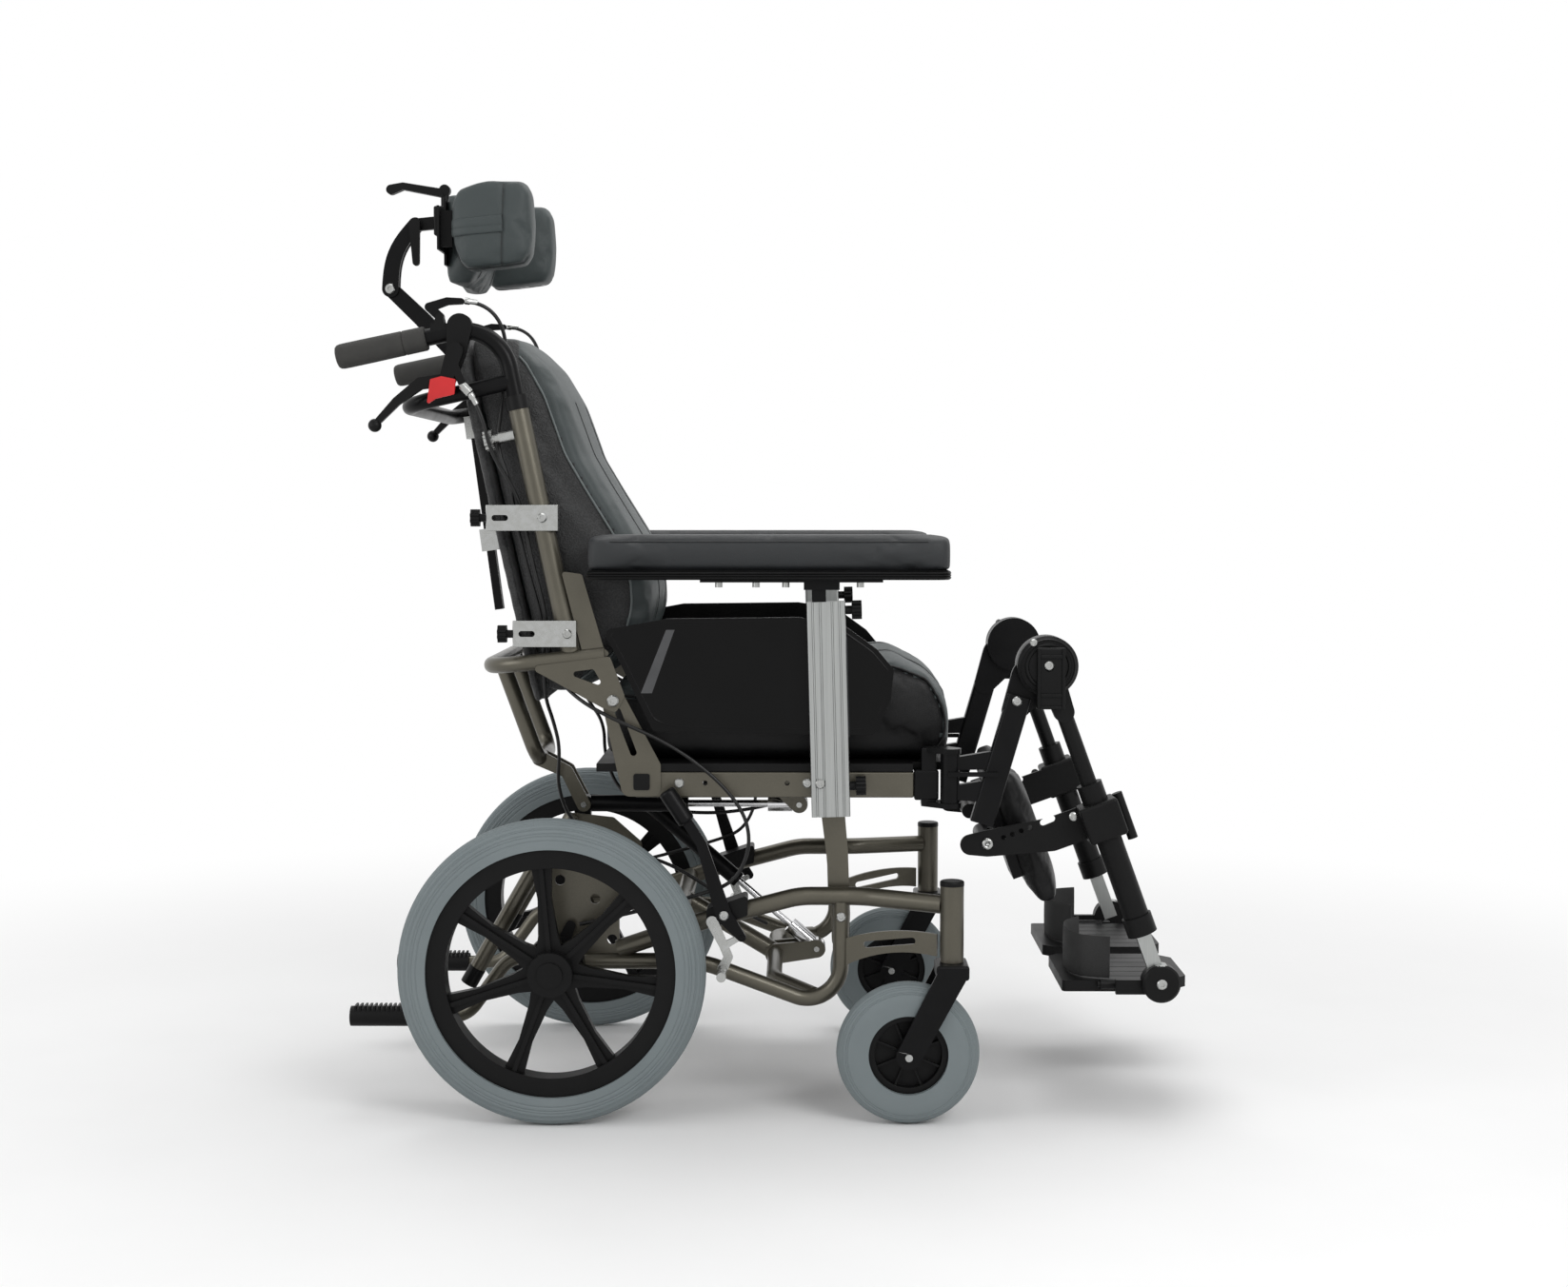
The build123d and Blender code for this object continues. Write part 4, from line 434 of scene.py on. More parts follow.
def reach(verts):
    spots = [vert.co for vert in verts]
    return (Vector([min(spot[i] for spot in spots) for i in range(3)]),
            Vector([max(spot[i] for spot in spots) for i in range(3)]))


def joined(parts):
    whole = bmesh.new()
    for part in parts:
        mesh = bpy.data.meshes.new("part")
        part.to_mesh(mesh)
        part.free()
        whole.from_mesh(mesh)
        bpy.data.meshes.remove(mesh)
    return whole


# ---- padded pieces: remeshed, blown up a little as cloth, then pinched at the seams

def evaluated(piece):
    piece.data.update()
    ready = piece.evaluated_get(bpy.context.evaluated_depsgraph_get())
    return bpy.data.meshes.new_from_object(ready)


def plump(name, shape, foam, finish, form=None):
    low, high = reach(shape.verts)
    piece = asPiece(name, shape, finish, None, 180.0)
    remesh = piece.modifiers.new("remesh", "REMESH")
    remesh.mode = "VOXEL"
    remesh.voxel_size = foam["voxel"]
    fine = evaluated(piece)
    piece.modifiers.clear()
    piece.data = fine
    soft = bmesh.new()
    soft.from_mesh(fine)
    for _ in range(foam["rounding"]):
        bmesh.ops.smooth_vert(soft, verts=soft.verts, factor=0.5, use_axis_x=True,
                              use_axis_y=True, use_axis_z=True)
    soft.normal_update()
    for vert in soft.verts:
        vert.co -= vert.normal * foam["shrink"]
        if form:
            vert.co += form(vert.co, low, high)
    soft.to_mesh(fine)
    soft.free()
    inflate(piece, foam)
    edge = foam["spill"]
    for vert in piece.data.vertices:
        for i in range(3):
            vert.co[i] = min(max(vert.co[i], low[i] - edge), high[i] + edge)
    piece.data.materials.clear()
    for one in (finish if isinstance(finish, (list, tuple)) else [finish]):
        piece.data.materials.append(one)
    return piece


cover = {"frames": 20, "quality": 4, "tension": 12.0, "bending": 0.4}


def inflate(piece, foam):
    start = [vert.co.copy() for vert in piece.data.vertices]
    cloth = piece.modifiers.new("cloth", "CLOTH")
    cloth.settings.use_pressure = True
    cloth.settings.uniform_pressure_force = foam["pressure"]
    cloth.settings.effector_weights.gravity = 0.0
    cloth.settings.quality = cover["quality"]
    cloth.settings.tension_stiffness = cover["tension"]
    cloth.settings.bending_stiffness = cover["bending"]
    cloth.collision_settings.use_collision = False
    cloth.point_cache.frame_start, cloth.point_cache.frame_end = 1, cover["frames"]
    for now in range(1, cover["frames"] + 1):
        scene.frame_set(now)
    puffed = evaluated(piece)
    piece.modifiers.clear()
    for vert, moved, first in zip(piece.data.vertices, puffed.vertices, start):
        shift = moved.co - first
        if shift.length > foam["cap"]:
            shift *= foam["cap"] / shift.length
        vert.co = first + shift
    scene.frame_set(1)
    bpy.data.meshes.remove(puffed)


def onSurface(piece, points, direction):   # the points pushed along a direction onto a piece
    tree = BVHTree.FromPolygons([vert.co for vert in piece.data.vertices],
                                [face.vertices for face in piece.data.polygons])
    landed = []
    for point in points:
        spot = tree.ray_cast(Vector(point) - Vector(direction) * 0.5, Vector(direction))[0]
        landed.append(spot or tree.find_nearest(Vector(point))[0])
    return landed


def between(first, last, count):
    first, last = Vector(first), Vector(last)
    return [first.lerp(last, step / (count - 1)) for step in range(count)]


def pinch(piece, routes, width, depth, creases=0.0):
    spots = [spot for route in routes for spot in route]
    tree = KDTree(len(spots))
    for index, spot in enumerate(spots):
        tree.insert(spot, index)
    tree.balance()
    normals = [vert.normal.copy() for vert in piece.data.vertices]
    for vert, normal in zip(piece.data.vertices, normals):
        away = tree.find(vert.co)[2]
        near = math.exp(-(away / width) ** 2)
        wide = math.exp(-(away / (width * 5)) ** 2)
        ripple = noise.noise(vert.co * 55.0) * creases * wide
        vert.co += normal * (ripple - depth * near)
    piece.data.update()


def finishPad(piece, body):
    piece.data.polygons.foreach_set("use_smooth", [True] * len(piece.data.polygons))
    smooth = piece.modifiers.new("smooth", "SUBSURF")
    smooth.levels = smooth.render_levels = 1
    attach(piece, body)


def sewn(name, route, radius, finish, body):
    shape = bmesh.new()
    tubeAlong(shape, route, radius, 8)
    bmesh.ops.recalc_face_normals(shape, faces=shape.faces)
    return asPiece(name, shape, finish, body, 70.0)


def dense(route, gap=0.0015):
    points = []
    for first, second in zip(route, route[1:]):
        count = max(2, int((second - first).length / gap))
        points += [first.lerp(second, step / count) for step in range(count)]
    return points + [route[-1]]


# ---- the carried CAD nodes

edges = {"wide": 0.0012, "plain": 0.0007, "thin": 0.0004}
dressed = {
    "base_frame": ("frame_coat", "plain"), "tilt_uprights": ("frame_coat", "plain"),
    "treads_and_plugs": ("black_plastic", "plain"), "base_bolts": ("plated_steel", "thin"),
    "brake_clamps": ("black_plastic", "plain"), "seat_frame": ("frame_coat", "plain"),
    "legrest_sockets": ("black_metal", "wide"), "seat_board": ("black_plastic", "plain"),
    "side_panels": ("panel_plastic", "wide"), "armrest_posts": ("bright_metal", "thin"),
    "seat_bolts": ("plated_steel", "thin"), "tilt_strut_rod": ("strut_metal", "thin"),
    "tilt_strut_cylinder": ("black_metal", "plain"), "recline_strut_rod": ("strut_metal", "thin"),
    "recline_strut_cylinder": ("black_metal", "plain"), "back_frame": ("frame_coat", "plain"),
    "back_clamps": ("plated_steel", "thin"), "push_handles": ("black_metal", "plain"),
    "lever_mounts": ("black_plastic", "plain"), "headrest_post": ("black_metal", "plain"),
    "headrest_arm": ("black_metal", "plain"), "headrest_clamp": ("black_plastic", "plain"),
}
pairs = {
    "brake_lever": ("black_metal", "plain"), "brake_shoe": ("plated_steel", "thin"),
    "rear_rim": ("black_plastic", "wide"), "castor_rim": ("black_plastic", "plain"),
    "castor_fork": ("black_metal", "wide"), "armrest_stem": ("black_metal", "plain"),
    "drum_brake_lever": ("black_plastic", "wide"), "release_trigger": ("black_metal", "plain"),
    "legrest_hanger": ("black_metal", "wide"), "legrest_leg": ("black_plastic", "wide"),
    "foot_tube": ("bright_metal", "thin"),
}
for node, (finish, edge) in dressed.items():
    dress(node, finishes[finish], edges[edge])
for node, (finish, edge) in pairs.items():
    for side, sign in sides:
        dress(f"{node}_{side}", finishes[finish], edges[edge])

tints = [                              # node, finish, and the box that holds the faces, right side
    ("back_clamps", "black_plastic", (-0.5, 0.16, 0.94), (-0.2, 0.3, 1.0)),
    ("back_clamps", "black_plastic", (-0.40, 0.216, 0.80), (-0.3722, 0.3, 0.83)),
    ("back_clamps", "black_plastic", (-0.36, 0.216, 0.645), (-0.3372, 0.3, 0.672)),
    ("seat_bolts", "black_plastic", (0.098, 0.16, 0.40), (0.3, 0.3, 0.75)),
    ("seat_bolts", "black_plastic", (-0.19, 0.16, 0.43), (-0.14, 0.3, 0.49)),
    ("lever_mounts", redPlastic, (-0.51, 0.2423, 0.955), (-0.40, 0.3, 1.01)),
    ("lever_mounts", "plated_steel", (-0.408, 0.2335, 0.976), (-0.386, 0.2465, 0.9975)),
    ("foot_tube", "black_plastic", (0.4, 0.1, 0.1), (0.6, 0.3, 0.2095)),
    ("foot_tube", "plated_steel", (0.4, 0.2534, 0.15), (0.6, 0.3, 0.22)),
    ("castor_fork", "plated_steel", (0.19, 0.3024, 0.09), (0.203, 0.31, 0.103)),
    ("castor_fork", "plated_steel", (0.19, 0.23, 0.09), (0.203, 0.2416, 0.103)),
    ("legrest_leg", "plated_steel", (0.37, 0.2631, 0.60), (0.40, 0.30, 0.63)),
    ("legrest_hanger", "plated_steel", (0.33, 0.2461, 0.555), (0.356, 0.27, 0.58)),
    ("armrest_stem", "plated_steel", (-0.07, 0.23, 0.7215), (0.14, 0.25, 0.7289)),
    ("headrest_arm", "plated_steel", (-0.548, 0.0086, 1.13), (-0.53, 0.02, 1.152)),
]
for node, finish, low, high in tints:
    finish = finishes.get(finish, finish)
    for side, sign in sides:
        ends = sorted((low[1] * sign, high[1] * sign))
        box = (low[0], ends[0], low[2]), (high[0], ends[1], high[2])
        paired = f"{node}_{side}"
        tintFaces(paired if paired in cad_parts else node, finish, *box)
print("stage: frame dressed")


# ---- tyres

tyres = {
    "rear": {"outer": 0.2074, "inner": 0.1675, "half": 0.0219, "centre": (-0.282, 0.280, 0.2075),
             "rings": (0.0012, 0.0035, 0.0062, 0.0108, 0.0128, 0.0180, 0.0215, 0.0275),
             "body": "rear_wheel", "turns": 144},
    "castor": {"outer": 0.0964, "inner": 0.0535, "half": 0.0223, "centre": (0.1965, 0.272, 0.0965),
               "rings": (0.0015, 0.0045, 0.0070, 0.0110, 0.0135), "body": "castor_wheel", "turns": 112},
}
groove = {"deep": 0.0009, "wide": 0.0008, "steps": 220}


def tyreOutline(size):                 # a round section with fine grooves at set depths under the tread
    deep = size["outer"] - size["inner"]
    outline = []
    for step in range(groove["steps"] + 1):
        angle = math.pi * (step / groove["steps"] - 0.5)
        across = size["half"] * math.copysign(abs(math.sin(angle)) ** 0.86, math.sin(angle))
        height = deep * math.cos(angle) ** 0.62
        cut = max(math.exp(-((deep - height - ring) / groove["wide"]) ** 2) for ring in size["rings"])
        cut *= groove["deep"]
        outline.append((size["inner"] + height - cut * math.cos(angle), across - cut * math.sin(angle)))
    return outline


for kind, size in tyres.items():
    for side, sign in sides:
        centre = Vector(size["centre"])
        centre.y *= sign
        tyre = profileSpin(f"{kind}Tyre_{side}", tyreOutline(size), centre, (0, 1, 0),
                           finishes["tyre_grey"], f"{size['body']}_{side}",
                           size["turns"], True, 28.0)
        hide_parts(f"{kind}_tyre_{side}")
print("stage: tyres")


# ---- seat and back

seatFoam = {"voxel": 0.006, "rounding": 4, "shrink": 0.001, "pressure": 4.0, "cap": 0.006, "spill": 0.003}
backFoam = {"voxel": 0.006, "rounding": 3, "shrink": 0.001, "pressure": 4.0, "cap": 0.005, "spill": 0.003}
seatLines = {"edge": 0.010, "channel": 0.085, "above": 0.55, "rear": 0.02, "front": 0.055,
             "nose": (0.09, 0.53), "skirt": 0.03, "welt": 0.0017, "thread": 0.0007,
             "pinch": (0.0045, 0.0020, 0.0012)}    # width, depth and creases


def paintSides(piece, isSide):         # the second material on the faces that isSide picks
    for face in piece.data.polygons:
        if isSide(face.center, face.normal):
            face.material_index = 1


def makeSeatCushion():
    cushion = plump("seatCushion", weldedCopy("seat_cushion"), seatFoam,
                    [finishes["cover_fabric"], blackVinyl])
    low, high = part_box("seat_cushion")
    edge, channel, above = high.y - seatLines["edge"], seatLines["channel"], seatLines["above"]
    inside, level = seatLines["nose"]
    seams = []
    for y in (-edge, edge, -channel, channel):
        first, last = (low.x + seatLines["rear"], y, above), (high.x - seatLines["front"], y, above)
        top = onSurface(cushion, between(first, last, 70), (0, 0, -1))
        seams.append(top + noseLine(cushion, y, high.x - inside, level))
    pinch(cushion, [dense(seam, 0.003) for seam in seams], *seatLines["pinch"])
    skirt = low.z + seatLines["skirt"]
    paintSides(cushion, lambda spot, normal: abs(spot.y) > edge or spot.z < skirt)
    finishPad(cushion, "seat")
    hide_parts("seat_cushion")
    for number, seam in enumerate(seams):
        outer = number < 2
        sewn(f"seatSeam_{number}", dense(seam, 0.003), seatLines["welt" if outer else "thread"],
             blackVinyl if outer else darkThread, "seat")
    print("stage: seat cushion")


def noseLine(piece, y, x, z):          # over the front of the cushion, fanned about a point inside
    tree = BVHTree.FromPolygons([vert.co for vert in piece.data.vertices],
                                [face.vertices for face in piece.data.polygons])
    landed = []
    for step in range(1, 22):
        turn = math.radians(70 - step * 4.4)
        spot = tree.ray_cast(Vector((x, y, z)), Vector((math.cos(turn), 0, math.sin(turn))))[0]
        if spot:
            landed.append(spot)
    return landed


backLines = {"band": 0.030, "beside": 0.10, "channel": 0.075, "steps": 90, "foot": 0.02, "head": 0.03,
             "flat": 0.35, "behind": 0.02, "piping": 0.0016, "thread": 0.0006,
             "pinch": (0.005, 0.0018, 0.0010)}


def makeBackCushion():
    cushion = plump("backCushion", weldedCopy("back_cushion"), backFoam,
                    [finishes["cover_fabric"], finishes["mesh_fabric"]])
    low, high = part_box("back_cushion")
    steps, band = backLines["steps"], backLines["band"]
    run = high.z - low.z - backLines["foot"] - backLines["head"]
    levels = [low.z + backLines["foot"] + run * step / steps for step in range(steps + 1)]
    front = onSurface(cushion, [(0, backLines["beside"], level) for level in levels], (-1, 0, 0))
    seams = []
    for side, sign in sides:
        spots = [(spot.x - band, 0, spot.z) for spot in front]
        seams.append(onSurface(cushion, spots, (0, -sign, 0)))
    middle = [onSurface(cushion, [(0, y, level) for level in levels[6:-12]], (-1, 0, 0))
              for y in (-backLines["channel"], backLines["channel"])]
    pinch(cushion, [dense(line, 0.003) for line in seams + middle], *backLines["pinch"])

    def isSide(spot, normal):
        if abs(normal.y) < backLines["flat"] and spot.x > low.x + backLines["behind"]:
            return False
        step = min(steps, max(0, int((spot.z - levels[0]) / (levels[1] - levels[0]))))
        return spot.x < front[step].x - band

    paintSides(cushion, isSide)
    finishPad(cushion, "back")
    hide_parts("back_cushion")
    for number, line in enumerate(seams):
        sewn(f"backPiping_{number}", dense(line, 0.004), backLines["piping"], paleTrim, "back")
    for number, line in enumerate(middle):
        sewn(f"backSeam_{number}", dense(line, 0.004), backLines["thread"], darkThread, "back")
    print("stage: back cushion")


def makeBackShell():
    shape = weldedCopy("back_shell")
    piece = asPiece("backShell", shape, finishes["mesh_fabric"], None, 180.0)
    remesh = piece.modifiers.new("remesh", "REMESH")
    remesh.mode = "VOXEL"
    remesh.voxel_size = 0.006
    piece.data = evaluated(piece)
    piece.modifiers.clear()
    piece.data.materials.clear()
    piece.data.materials.append(finishes["mesh_fabric"])
    finishPad(piece, "back")
    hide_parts("back_shell")
    print("stage: back shell")


# ---- armrests

armFoam = {"voxel": 0.004, "rounding": 3, "shrink": 0.001, "pressure": 4.0, "cap": 0.004, "spill": 0.001}
bumper = {"inset": 0.003, "corner": 0.020, "flare": (0.0015, -0.0022), "cap": (0.0018, 0.004),
          "rib": [(0.0012, -0.0006), (0.0013, 0.0006), (0.0005, 0.0009), (0.0002, -0.0009)], "ribs": 3}
armSeam = {"ends": 0.032, "down": 0.008, "thread": 0.0006, "pinch": (0.003, 0.0009, 0.0004)}


def roundedPad(low, high, corner, steps=8):    # a flat rounded rectangle to be drawn up
    shape = bmesh.new()
    bmesh.ops.create_grid(shape, x_segments=1, y_segments=1, size=0.5)
    bmesh.ops.scale(shape, vec=(high.x - low.x, high.y - low.y, 1), verts=shape.verts)
    bmesh.ops.translate(shape, vec=((low.x + high.x) / 2, (low.y + high.y) / 2, low.z), verts=shape.verts)
    bmesh.ops.bevel(shape, geom=shape.verts[:], offset=corner, segments=steps, affect="VERTICES",
                    profile=0.5, material=-1)
    return shape


def drawUp(shape, rise, inset):        # lifts the top face and draws its outline in by inset
    top = [face for face in shape.faces if face.normal.z > 0.5 and
           face.calc_center_median().z > max(vert.co.z for vert in shape.verts) - 0.00001]
    made = bmesh.ops.extrude_face_region(shape, geom=top)["geom"]
    verts = [item for item in made if isinstance(item, bmesh.types.BMVert)]
    bmesh.ops.delete(shape, geom=top, context="FACES")
    bmesh.ops.translate(shape, vec=(0, 0, rise), verts=verts)
    shape.normal_update()
    low, high = reach(verts)
    middle = (low + high) / 2
    factor = Vector((1 - 2 * inset / (high.x - low.x), 1 - 2 * inset / (high.y - low.y), 1))
    for vert in verts:
        vert.co = middle + Vector([(vert.co[i] - middle[i]) * factor[i] for i in range(3)])


def makeArmrests():
    for side, sign in sides:
        node = f"armrest_pad_{side}"
        body = f"armrest_{side}"
        low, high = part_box(node)
        parts = lumps(node)
        pad = plump(f"armrestPad_{side}", parts[0], armFoam, finishes["pad_vinyl"])
        for part in parts[1:]:
            part.free()
        y, z = (low.y + high.y) / 2, high.z - armSeam["down"]
        points = between((low.x + armSeam["ends"], y, z), (high.x - armSeam["ends"], y, z), 120)
        routes = [onSurface(pad, points, (0, -face, 0)) for face in (-1, 1)]
        pinch(pad, [dense(route, 0.003) for route in routes], *armSeam["pinch"])
        finishPad(pad, body)
        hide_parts(node)
        for number, route in enumerate(routes):
            sewn(f"armrestSeam_{side}_{number}", dense(route, 0.004), armSeam["thread"], darkThread,
                 body)
        inset = bumper["inset"]
        shape = roundedPad(Vector((low.x + inset, low.y + inset, low.z)),
                           Vector((high.x - inset, high.y - inset, low.z)), bumper["corner"])
        shape.normal_update()
        for rise, narrow in [bumper["flare"]] + bumper["rib"] * bumper["ribs"] + [bumper["cap"]]:
            drawUp(shape, rise, narrow)
        bmesh.ops.edgeloop_fill(shape, edges=[edge for edge in shape.edges if edge.is_boundary])
        bmesh.ops.recalc_face_normals(shape, faces=shape.faces)
        asPiece(f"armrestBumper_{side}", shape, finishes["black_plastic"], body,
                50.0)
    print("stage: armrests")


# ---- headrest

headFoam = {"voxel": 0.004, "rounding": 4, "shrink": 0.001, "pressure": 4.0, "cap": 0.006, "spill": 0.002}
wingCut = {"top": 0.017, "reach": 0.5, "nose": 0.011, "heel": 0.012}
headSeams = {"channel": 0.055, "seam": 0.66, "ends": 0.008, "top": 0.020, "foot": 0.018,
             "folds": ((0.0045, 0.0075, 0.28), (-0.0055, 0.0065, 0.34)), "thread": 0.0005,
             "pinch": (0.0035, 0.0020, 0.0016)}


def wingForm(spot, low, high):         # the upper rear corner drops, the lower edge rises to the front
    ahead = (spot.x - low.x) / (high.x - low.x)
    up = (spot.z - low.z) / (high.z - low.z)
    rear = max(0.0, 1 - ahead / wingCut["reach"])
    lift = wingCut["nose"] * ahead * (1 - up) - wingCut["top"] * rear ** 1.5 * up
    return Vector((wingCut["heel"] * (1 - up) ** 2 * (1 - ahead), 0, lift))


def makeHeadrest():
    parts = lumps("headrest_pads")
    for number, part in enumerate(parts):
        low, high = reach(part.verts)
        middle = (low + high) / 2
        centre = abs(middle.y) < 0.05
        label = "centre" if centre else ("left" if middle.y > 0 else "right")
        pad = plump(f"headPad_{label}", part, headFoam, finishes["cover_fabric"],
                    None if centre else wingForm)
        seams = []
        if centre:
            for y in (-headSeams["channel"], headSeams["channel"]):
                line = between((0, y, low.z + 0.012), (0, y, high.z - 0.012), 50)
                seams.append(onSurface(pad, line, (-1, 0, 0)))
        else:
            out, ends = math.copysign(1, middle.y), headSeams["ends"]
            seamX = low.x + (high.x - low.x) * headSeams["seam"]
            line = between((seamX - 0.004, 0, low.z + ends), (seamX, 0, high.z - 0.006), 50)
            seams.append(onSurface(pad, line, (0, -out, 0)))
            for aside, down in ((headSeams["top"], -1), (headSeams["foot"], 1)):
                y = middle.y + out * aside
                line = between((low.x + ends, y, 0), (high.x - ends, y, 0), 40)
                seams.append(onSurface(pad, line, (0, 0, down)))
            line = between((low.x + 0.004, 0, middle.z - 0.004), (seamX - 0.002, 0, middle.z + 0.002), 24)
            band = onSurface(pad, line, (0, -out, 0))
            for step, (lift, wide, thick) in enumerate(headSeams["folds"]):
                shape = bmesh.new()
                route = [spot + Vector((0, 0, lift)) for spot in dense(band, 0.004)]
                tubeAlong(shape, route, wide, 14, (1.0, thick), Vector((0, 0, 1)))
                bmesh.ops.recalc_face_normals(shape, faces=shape.faces)
                asPiece(f"headBand_{label}_{step}", shape, finishes["cover_fabric"], "headrest",
                        60.0)
        pinch(pad, [dense(seam, 0.003) for seam in seams], *headSeams["pinch"])
        finishPad(pad, "headrest")
        for index, seam in enumerate(seams):
            sewn(f"headSeam_{label}_{index}", dense(seam, 0.003), headSeams["thread"], darkThread,
                 "headrest")
    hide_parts("headrest_pads")
    print("stage: headrest")


# ---- calf pads, heel loops and grips

calfFoam = {"voxel": 0.004, "rounding": 4, "shrink": 0.001, "pressure": 4.0, "cap": 0.005, "spill": 0.001}


def makeCalfPads():
    for side, sign in sides:
        parts = lumps(f"calf_pad_{side}")
        pad = plump(f"calfPad_{side}", parts[0], calfFoam, blackVinyl)
        finishPad(pad, f"calf_{side}")
        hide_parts(f"calf_pad_{side}")
        bracket = asPiece(f"calfBracket_{side}", joined(parts[1:-1]), finishes["black_metal"],
                          f"calf_{side}")
        softEdges(bracket, 0.0006)
        asPiece(f"calfBolt_{side}", parts[-1], finishes["plated_steel"], f"calf_{side}")
    print("stage: calf pads")


heel = {"height": 0.058, "flat": 0.034, "above": 0.001,    # forward of an end, and share of the width
        "path": [(0.022, 0.04), (0.010, 0.14), (0.001, 0.42), (0.004, 0.74), (0.022, 0.93), (0.032, 1.0)]}


def makeFootplates():
    for side, sign in sides:
        node = f"footplate_{side}"
        parts = lumps(node)
        tall = [part for part in parts if reach(part.verts)[1].z - reach(part.verts)[0].z > 0.05]
        flat = [part for part in parts if part not in tall]
        low, high = reach(tall[0].verts)
        for part in tall:
            part.free()
        plate = asPiece(f"footplateBody_{side}", joined(flat), finishes["black_plastic"],
                        f"plate_{side}")
        softEdges(plate, 0.0008)
        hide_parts(node)
        outer, inner = (low.y, high.y) if sign < 0 else (high.y, low.y)
        z = low.z + heel["above"] + heel["height"] / 2
        path = [Vector((high.x, outer, z))]
        for number, (ahead, share) in enumerate(heel["path"]):
            x = low.x + ahead if number else high.x - ahead
            path.append(Vector((x, outer + (inner - outer) * share, z)))
        shape = bmesh.new()
        tubeAlong(shape, smoothRoute(path), heel["height"] / 2, 20, (heel["flat"], 1.0),
                  Vector((1, 0, 0)))
        bmesh.ops.recalc_face_normals(shape, faces=shape.faces)
        asPiece(f"heelLoop_{side}", shape, blackStrap, f"plate_{side}", 50.0)
    print("stage: footplates")


grip = {"along": (-0.97815, 0, -0.20791), "radius": 0.017, "y": 0.215}
gripOutline = [(0.0118, 0.0), (0.0152, 0.0), (0.0164, 0.002), (0.0166, 0.030), (0.0154, 0.0312),
               (0.0166, 0.0324), (0.0169, 0.070), (0.0170, 0.108), (0.0168, 0.1165), (0.0159, 0.1206),
               (0.0138, 0.1230), (0.0110, 0.1239), (0.0, 0.1240), (0.0, 0.1184), (0.0118, 0.1184)]


def makeGrips():
    low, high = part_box("hand_grips")   # the top edge of the sleeve's front end is the box's corner
    back, rise = grip["along"][2] * grip["radius"], grip["along"][0] * grip["radius"]
    last = None
    for side, sign in sides:
        start = (high.x + back, grip["y"] * sign, high.z + rise)
        last = profileSpin(f"handGrip_{side}", gripOutline, start, grip["along"],
                           finishes["grip_rubber"], "push_handle", 64, True, 30.0)
        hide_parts("hand_grips")
    print("stage: grips")


# ---- places measured from the chair's pivots, in millimetres

def fromRecline(x, y, z):
    return Vector((-202 + x, y, 568 + z)) * mm


def fromAxle(x, y, z):
    return Vector((-282 + x, y, 207.5 + z)) * mm


def upCane(distance, y, back):
    return Vector((-260 - 0.2062 * distance - back, y, 633 + 0.9785 * distance)) * mm


# ---- trim on the side panels, screws on the knees and the cables' end sleeves

trim = {"face": 0.231, "bead": 0.0014, "proud": 0.35,
        "outline": [(-0.206, 0.659), (-0.128, 0.672), (0.048, 0.674), (0.103, 0.666), (0.148, 0.634),
                    (0.171, 0.607), (0.167, 0.570), (0.147, 0.528), (-0.143, 0.533), (-0.186, 0.620)],
        "stripe": [(-0.130, 0.664), (-0.1185, 0.664), (-0.1495, 0.578), (-0.1645, 0.578)],
        "film": 0.0003, "rounding": 0.16}
edging = {"foot": (0.1155, 0.519), "head": (0.1119, 0.655), "half": 0.0030, "flat": 0.5}
screws = {"leg": [(0.364, 0.648, 0.2530, 0.0052), (0.421, 0.412, 0.2400, 0.0060)],    # x, z, face, radius
          "head": [(0.0, 0.0014), (0.5, 0.0014), (0.56, 0.0032), (0.8, 0.0030), (1.0, 0.0018),
                   (1.0, 0.0), (0.0, 0.0)]}
sleeves = {"brake": [(-188.2, 240, 413.2), (-172, 241, 385)],
           "release": [(-198.5, 215, 538.5), (-176, 212, 536)]}
knee = {"centre": (0.384, 0.2528, 0.616), "turns": 72,
        "cap": [(0.0, 0.0032), (0.020, 0.0028), (0.0262, 0.0016), (0.0272, 0.0034), (0.0300, 0.0037),
                (0.0318, 0.0014), (0.0318, 0.0), (0.0, 0.0)],
        "rim": [(0.0345, 0.0), (0.0352, 0.0013), (0.0366, 0.0013), (0.0373, 0.0)]}
latch = {"x": (0.3685, 0.4055), "z": (0.5595, 0.6415), "face": 0.2628, "wall": 0.0042, "rise": 0.0026,
         "bars": (0.5755, 0.6275), "bar": 0.0050}
sleeve = [(0.0024, 0.0), (0.0044, 0.0), (0.0046, 0.001), (0.0046, 0.006), (0.0036, 0.0075), (0.0036, 0.015),
          (0.0031, 0.017), (0.0024, 0.017)]


